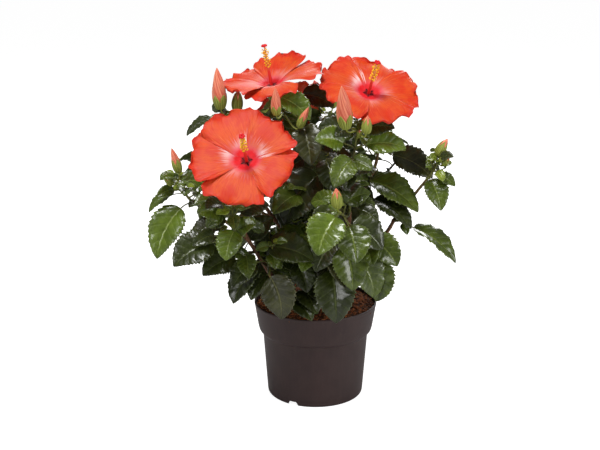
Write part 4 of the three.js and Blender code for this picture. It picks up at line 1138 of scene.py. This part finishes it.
def leaf_finish(name, deep, fresh, edge, gloss):
    """The upper side of a leaf: quilted, with paler veins and a paler line along its margin."""
    material, start = new_finish(name, Specular_IOR_Level=0.3, Coat_Roughness=0.17, Coat_Weight=gloss)
    spot = start.spot()
    place = start.place()
    across, along = (place.part(0) - 0.5) * 2, place.part(1)
    away = abs(across)
    vein = VEINS * (along - VEIN_SLANT * away * (1 - 0.45 * along))
    vein = vein + across.fade(-0.01, 0.01) * 0.5 - 0.25
    ripple = abs((vein * math.pi).sine())
    veins = ripple.fade(0.26, 0.0) * away.fade(1.0, 0.8)
    midrib = away.fade(0.07, 0.02)
    cells = place.stretched(13, 20, 1).cells(1.0)
    blotch = spot.noise(60, 3, 0.6)
    mottle = spot.noise(420, 3, 0.6)
    dapple = spot.noise(170, 2)
    green = (blotch * 0.7 + mottle * 0.3).fade(0.36, 0.66).blend(deep, fresh)
    green = (veins * 0.3 + midrib * 0.55).fade(0, 1).blend(green, edge)
    green = (away.fade(0.92, 1.0) * 0.65).blend(green, edge)
    feed(material, Base_Color=green, Roughness=0.24 + mottle * 0.24,
         Normal=(ripple ** 0.6 * 0.5 - cells * 0.4 + mottle * 0.2 + dapple * 0.5).relief(0.8))
    return material


DARK, GREEN, FRESH, OLIVE, YOUNG = range(5)
UPPER_TINTS = [  # deep, fresh and edge colour, and gloss
    leaf_finish("leaf_dark", srgb(36, 43, 10), srgb(54, 64, 18), srgb(96, 106, 54), 0.5),
    leaf_finish("leaf_green", srgb(56, 70, 12), srgb(82, 98, 22), srgb(128, 142, 62), 0.6),
    leaf_finish("leaf_fresh", srgb(72, 90, 16), srgb(96, 116, 32), srgb(150, 164, 84), 0.7),
    leaf_finish("leaf_olive", srgb(44, 46, 18), srgb(64, 66, 30), srgb(110, 110, 66), 0.5),
    leaf_finish("leaf_young", srgb(104, 122, 22), srgb(140, 154, 46), srgb(180, 186, 98), 0.4),
]
under_finish, start = new_finish("leaf_underside", Roughness=0.6, Specular_IOR_Level=0.3)
mottle = start.spot().noise(200, 3)
feed(under_finish, Base_Color=mottle.fade(0.35, 0.65).blend(srgb(68, 80, 36), srgb(94, 106, 54)),
     Normal=mottle.relief(0.3))
TINT_SHARES = {  # which finishes the seeded leaves of each size take, by a chance below this
    "small": [(0.4, YOUNG), (1, FRESH)],
    "half_grown": [(0.05, YOUNG), (0.4, FRESH), (1, GREEN)],
    "grown": [(0.34, DARK), (0.66, GREEN), (0.82, OLIVE), (1, FRESH)],
}
SMALL_LEAF, HALF_GROWN = 20, 0.62  # up to this length, and up to this share of the mass's size

stalk_finish, start = new_finish("green_stalk", Specular_IOR_Level=0.4)
spot = start.spot()
tone = spot.noise(90, 3)
feed(stalk_finish, Base_Color=tone.fade(0.35, 0.65).blend(srgb(72, 68, 26), srgb(108, 112, 44)),
     Roughness=0.45 + tone * 0.2, Normal=spot.stretched(1, 1, 0.3).noise(900, 2).relief(0.12))
sepal_finish, start = new_finish("green_sepal", Specular_IOR_Level=0.4)
stripes = start.place().stretched(9, 0.6, 1).noise(1.0, 2)
feed(sepal_finish, Base_Color=stripes.fade(0.38, 0.64).blend(srgb(104, 114, 30), srgb(172, 178, 80)),
     Roughness=0.5 + stripes * 0.15, Normal=stripes.relief(0.3))
furl_finish, start = new_finish("furled_petal", Roughness=0.5, Subsurface_Weight=0.1,
                                Subsurface_Scale=0.003)
place = start.place()
slanted = place.part(0) + place.part(1) * 0.3
streaks = start.node("CombineXYZ", (), {0: slanted * 26, 1: place.part(1) * 1.6}).noise(1.0, 3, 0.6)
feed(furl_finish, Base_Color=streaks.fade(0.34, 0.66).blend(srgb(206, 82, 56), srgb(244, 152, 118)),
     Normal=streaks.relief(0.5))


def square_to(axis):
    """Two directions square to an axis and to each other."""
    across = np.cross(axis, [0.2, 0.9, 0.37])
    across /= np.linalg.norm(across)
    return across, np.cross(axis, across)


def sepal_cup(base, axis, length, radius):
    """A green cup of pointed sepals round the foot of a bud or flower, each a thin closed body."""
    across, up = square_to(axis)
    rows, columns = np.linspace(0.03, 0.97, 12), np.linspace(-1, 1, 7)
    u, v = rows[:, None], columns[None]
    faces = [face[::-1] for face in sheet_faces(len(rows), len(columns), len(columns))[0]]
    shapes = []
    for k in range(SEPALS):
        half_angle = math.pi / SEPALS * 1.08 * np.minimum(1, 2.3 * (1 - u)) ** 0.75
        middle = 2 * math.pi * k / SEPALS
        turn = middle + v * half_angle
        reach = radius(u) + 0.35 * (1 - v * v) + 0.15
        grid = (base + axis * (length * u)[..., None] + (reach * np.cos(turn))[..., None] * across
                + (reach * np.sin(turn))[..., None] * up)
        out = math.cos(middle) * across + math.sin(middle) * up
        root, tip = base.copy(), base + axis * length + out * (float(radius(1.0)) + 0.2)
        half = np.full(grid.shape[:2], 0.25)
        shapes.append(((sheet_points(grid, root, tip, half, half), faces), sheet_marks(rows, columns)))
    return shapes


def bract_ring(base, axis, length, radius):
    """The ring of narrow bracts under a cup, each a slim curved spike."""
    across, up = square_to(axis)
    shapes = []
    for k in range(BRACTS):
        turn = 2 * math.pi * k / BRACTS + 0.3
        out = math.cos(turn) * across + math.sin(turn) * up
        spine = Curve(base + out * 0.8, base + out * (radius + 1.2),
                      base + out * (radius + 2.2) + axis * length)
        shapes.append(tube(spine.at(np.linspace(0, 1, 7)), [0.7, 0.75, 0.7, 0.62, 0.5, 0.32, 0.1], 5))
    return shapes


def add_bud(batch, base, axis, length, foot, lead):
    """A bud on its stalk: furled petals standing out of the sepals, further on the larger buds."""
    width, cup = next(shares for least, *shares in BUD_KINDS if length > least)
    half, cup = length * width / 2, length * cup

    def radius(way):
        swell = np.sin(np.pi * np.minimum(1, 0.05 + 0.95 * np.asarray(way)) ** 0.68) ** 0.72
        return half * np.maximum(0.06, swell)

    reach = np.linalg.norm(base - foot)
    stalk = Curve(foot, foot + lead * 0.3 * reach, base - axis * 0.4 * reach, base + axis)
    batch.add(tube(stalk.at(np.linspace(0, 1, 14)), np.linspace(1.15, 0.95, 14), 8), 1)
    ways, sides = np.linspace(0.02, 1, 26), 40
    turns = turns_round(sides)
    lap = ((5 * turns[None] / (2 * np.pi) + 1.6 * ways[:, None]) % 1.0)
    furl = 1 + 0.12 * (lap - 0.5) * np.minimum(1, ways * 3)[:, None]
    furl -= 0.05 * np.exp(-((lap - 0.5) / 0.12) ** 2)
    points, faces = tube(base + np.outer(ways * length, axis), radius(ways), sides,
                         radius(ways)[:, None] * (furl - 1))
    marks = np.column_stack([np.append(np.tile(np.arange(sides) / sides, len(ways)), [0, 0]),
                             np.append(np.repeat(ways, sides), [0, 1])])
    batch.add((points, faces), 2, marks)
    for shape, marks in sepal_cup(base, axis, cup, lambda u: radius(u * cup / length)):
        batch.add(shape, 1, marks)
    for shape in bract_ring(base, axis, length * 0.3, half * 0.75):
        batch.add(shape, 1)


leaf_templates = {teeth: sheet_faces(len(tooth_rows(teeth)[0]), len(LEAF_COLUMNS), len(UNDER_COLUMNS))
                  for _, teeth in TEETH}


def add_leaf(blades, stalks, leaf, tint):
    """A leaf's blade with the teeth that suit its length, and its petiole from its joint."""
    teeth = next(number for least, number in TEETH if leaf["length"] > least)
    faces, sides = leaf_templates[teeth]
    points, marks = leaf_shape(leaf, teeth)
    under = len(UPPER_TINTS)
    blades.add((points, faces), [under if side else tint for side in sides], marks)
    reach = np.linalg.norm(leaf["base"] - leaf["foot"])
    ahead = direction(leaf["heading"], leaf["pitch"] + LEAF_BEND / 2)
    stalk = Curve(leaf["foot"], mixed(leaf["foot"], leaf["base"], 0.3) + leaf["lead"] * 0.15 * reach,
                  leaf["base"] - ahead * 0.3 * reach, leaf["base"] + ahead * 1.5)
    thick = min(0.98, 0.3 + 0.012 * leaf["length"])
    taper = thick * np.array([1.35, 1.05, 1, 0.95, 0.95, 1, 0.8])
    stalks.add(tube(stalk.at(np.linspace(0, 1, 7)), taper, 6), 0)


REGIONS = {  # each piece of joined blades stands for these masses
    "left": ["leaves_far_left", "leaves_left_low", "leaves_left_under", "leaves_front_left",
             "leaves_top_left", "leaves_side_left"],
    "front": ["leaves_front_low", "leaves_right_low", "leaves_front_middle", "leaves_centre_right",
              "leaves_middle", "leaves_middle_high", "leaves_top_centre"],
    "right": ["leaves_mid_right", "leaves_right_under", "leaves_far_right", "leaves_top_right",
              "leaves_side_right", "leaves_low_side_right"],
    "back": ["leaves_low_back_left", "leaves_low_back_right", "leaves_back_left", "leaves_back_right",
             "leaves_back_top", "leaves_back_middle"],
}


def shuts_gap(leaf):
    """Whether the leaf, seen from in front, would cover a gap where the sky or a limb shows."""
    away = leaf_spots(leaf) - VIEWER
    seen = (VIEWER - away * (VIEWER[1] / away[:, 1])[:, None])[:, [0, 2]]
    reach = np.linalg.norm(seen[:, None] - OPEN_GAPS[:, :2], axis=2)
    return (reach < OPEN_GAPS[:, 2]).any(axis=1).mean() > GAP_SHARE


def rooms(spots):
    """The small cubes of space that hold these points."""
    return {tuple(cube) for cube in np.floor(spots / ROOM).astype(int).tolist()}


petal_rooms = rooms(np.vstack(petal_spots))


def in_the_way(leaf):
    """Whether the leaf would cover a gap, or pierce a petal."""
    return shuts_gap(leaf) or len(rooms(leaf_spots(leaf)) & petal_rooms) > 1


shoots, chosen = {}, {}
for number, (name, mass) in enumerate(MASSES.items()):
    seed = 17 + 7 * number
    shoots[name] = curve_through(limb_curves[mass["on"]].at(mass.get("at", 1)), mass["by"], mass["tip"])
    surface = node_surface(name)
    leaves = stated_leaves(mass, shoots[name], seed) + fill_leaves(mass, shoots[name], seed)
    chosen[name] = [leaf for leaf in (as_built(leaf, surface) for leaf in leaves)
                    if leaf and (leaf["stated"] or not in_the_way(leaf))]

taken = set().union(*[rooms(leaf_spots(leaf)) for found in chosen.values() for leaf in found])
twigs = {name: [] for name in MASSES}


def place_if_clear(leaf, name, shared):
    """Keeps the leaf if it lies within its mass's reach, and few of its rooms are taken."""
    low, high = (np.array(corner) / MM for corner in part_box(name))
    spots = leaf_spots(leaf)
    wanted = rooms(spots)
    within = (spots > low - PAST_BOX).all() and (spots < high + PAST_BOX).all()
    clear = spots[:, 2].min() > SOIL_TOP + OVER_SOIL and len(wanted & taken) <= shared * len(wanted)
    if not within or not clear or in_the_way(leaf):
        return False
    chosen[name].append(leaf)
    taken.update(wanted)
    return True


for number, (name, mass) in enumerate(MASSES.items()):
    draw = random_from(900 + 11 * number)
    first, shoot = 360 * draw(), shoots[name]
    for i in range(EXTRA_TRIES):
        way = mixed(0.1, 1, draw())
        heading = first + STEADY_TURN * i + 40 * (draw() - 0.5)
        length = mass["size"] * mixed(0.45, 0.95, draw())
        pitch = mixed(-48, -8, way) + 40 * (draw() - 0.5)
        petiole = length * PETIOLE_RATIO * mixed(0.7, 1.6, draw())
        leaf = leaf_from(shoot, way, mass, draw, heading, pitch, length, petiole)
        place_if_clear(leaf, name, EXTRA_SHARED)
    for i in range(TWIG_TRIES):
        foot = shoot.at(mixed(0.2, 0.98, draw()))
        heading = first + 70 + STEADY_TURN * i
        tip = foot + direction(heading, mixed(10, 60, draw())) * mass["size"] * mixed(0.3, 0.6, draw())
        twig = curve_through(foot, mixed(foot, tip, 0.5) - [0, 0, 1.5], tip)
        kept = 0
        for k in range(TWIG_LEAVES):
            part = k / (TWIG_LEAVES - 1)
            length = mass["size"] * mixed(0.62, 0.36, part) * mixed(0.8, 1.2, draw())
            leaf = leaf_from(twig, mixed(0.45, 1, part), mass, draw, heading + STEADY_TURN * k,
                             mixed(-40, 0, part), length, mixed(4, 9, draw()))
            kept += place_if_clear(leaf, name, TWIG_SHARED)
        if kept:
            twigs[name].append(twig)
    for tip in [shoot, *twigs[name]]:
        for k in range(TUFT):
            leaf = leaf_from(tip, 1, mass, draw, first + 170 * k + 40 * draw(), mixed(0, 30, draw()),
                             mixed(9, 17, draw()), mixed(1.5, 3, draw()))
            place_if_clear(leaf, name, TUFT_SHARED)

stalk_batch, bud_batch = Batch(), Batch()
for region, names in REGIONS.items():
    blades = Batch()
    for name in names:
        draw = random_from(300 + len(name) + 13 * len(chosen[name]))
        shoot, mass = shoots[name], MASSES[name]
        ways = np.linspace(0, 1, 26)
        knots = 1 + 0.22 * np.exp(-(((ways * 9) % 1 - 0.5) / 0.16) ** 2)
        stalk_batch.add(tube(shoot.at(ways), mixed(SHOOT_ROOT, SHOOT_TIP, ways) * knots, 10), 0)
        for twig in twigs[name]:
            stalk_batch.add(tube(twig.at(ways), mixed(1.15, 0.75, ways) * knots, 8), 0)
        for leaf in chosen[name]:
            chance = draw()
            small, half_grown = leaf["length"] < SMALL_LEAF, leaf["length"] < HALF_GROWN * mass["size"]
            shares = TINT_SHARES["small" if small else "half_grown" if half_grown else "grown"]
            drawn = next(tint for share, tint in shares if chance < share)
            add_leaf(blades, stalk_batch, leaf, leaf["tone"] if leaf["stated"] else drawn)
        for index, (x, y, z, heading, rise, length) in enumerate(mass.get("buds", [])):
            add_bud(bud_batch, shoot.at(1) + [x, y, z], direction(heading, rise), length,
                    shoot.at(BUD_JOINT - BUD_JOINT_STEP * index), shoot.heading(1))
    made = blades.piece("leaf_blades_" + region, [*UPPER_TINTS, under_finish])
    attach(made, "root")
    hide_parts(*names)


def cup_radius(way):
    """The radius of an open flower's cup of sepals, which clasps the bowl of its petals."""
    return np.interp(way, [0, 0.12, 0.3, 0.6, 0.8, 0.93, 1], [1.8, 5.2, 6.6, 8.4, 10, 11.6, 14])


for carrier, mouth, heading, rise, *_ in BLOOMS.values():
    axis = direction(heading, rise)
    mouth = np.array(mouth, float)
    cup_foot = mouth - CUP_DEPTH * axis
    stalk = Curve(limb_curves[carrier].at(1), mouth - 62 * axis, mouth - (CUP_DEPTH - 2) * axis)
    ways = np.linspace(0, 1, 26)
    stalk_batch.add(tube(stalk.at(ways), np.interp(ways, [0, 0.08, 0.7, 1], [2.2, 1.6, 1.6, 2]), 10), 0)
    for shape, marks in sepal_cup(cup_foot, axis, CUP_LENGTH, cup_radius):
        bud_batch.add(shape, 1, marks)
    for shape in bract_ring(cup_foot, axis, 10, 4.6):
        bud_batch.add(shape, 1)

stalks = stalk_batch.piece("shoots_and_petioles", [stalk_finish])
buds = bud_batch.piece("buds_and_sepals", [stalk_finish, sepal_finish, furl_finish])
for made in (stalks, buds):
    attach(made, "root")

# Studio
# A plain white sweep under soft lamps: one overhead and in front, a long one to the right that
# lights that side of the pot, one from the left in front, and a broad fill from behind.

CAMERA_DOWN, LENS, SENSOR = 15.3, 64.5, 36
SWEEP_HALF, SWEEP_SEEN, SWEEP_GLOW, WORLD_GLOW = 9000, 0.92, 0.16, 0.14
LAMPS = {  # place, what it points at, its two sides, and its power in watts
    "overhead": ((-0.35, -0.6, 1.9), (0, 0, 0.28), (0.7, 0.5), 26),
    "right_side": ((1.7, -0.9, 0.7), (0, 0, 0.22), (0.5, 1.2), 17),
    "left_front": ((-1.3, -1.6, 0.9), (0, 0, 0.3), (0.5, 0.8), 10),
    "behind": ((0.5, 1.9, 1.3), (0, 0, 0.25), (1.4, 1.0), 32),
}

floor_finish, start = new_finish("white_sweep", Base_Color=(0.5, 0.5, 0.5, 1), Roughness=1.0,
                                 Specular_IOR_Level=0.0, Emission_Strength=SWEEP_SEEN)
seen = start.node("LightPath", output="Is Camera Ray")
feed(floor_finish, Emission_Color=seen.blend((SWEEP_GLOW, SWEEP_GLOW, SWEEP_GLOW, 1), (1, 1, 1, 1)))
floor_batch = Batch()
corners = [[x * SWEEP_HALF, y * SWEEP_HALF, -0.5] for x, y in ((-1, -1), (1, -1), (1, 1), (-1, 1))]
floor_batch.add((np.array(corners), [(0, 1, 2, 3)]))
sweep = floor_batch.piece("sweep", [floor_finish])

for name, (place, target, (wide, high), power) in LAMPS.items():
    light = bpy.data.lights.new(name, "AREA")
    light.shape, light.size, light.size_y, light.energy = "RECTANGLE", wide, high, power
    made = put(name, light)
    made.location = place
    made.rotation_euler = (Vector(target) - Vector(place)).to_track_quat("-Z", "Y").to_euler()

world = bpy.data.worlds.new("white_studio")
bpy.context.scene.world = world
world.use_nodes = True
backdrop = Wire(world.node_tree)
seen = backdrop.node("LightPath", output="Is Camera Ray")
soft = backdrop.node("Background", (), {"Color": (1, 1, 1, 1), "Strength": WORLD_GLOW})
white = backdrop.node("Background", (), {"Color": (1, 1, 1, 1), "Strength": 1.0})
shown = backdrop.node("MixShader", (), {0: seen, 1: soft, 2: white})
world.node_tree.links.new(shown.socket, world.node_tree.nodes["World Output"].inputs[0])
bpy.context.scene.view_settings.view_transform = "Standard"

camera = put("camera", bpy.data.cameras.new("camera"))
camera.location = VIEWER * MM
camera.rotation_euler = (math.radians(90 - CAMERA_DOWN), 0, 0)
camera.data.lens, camera.data.sensor_width = LENS, SENSOR
bpy.context.scene.camera = camera

bpy.context.view_layer.update()
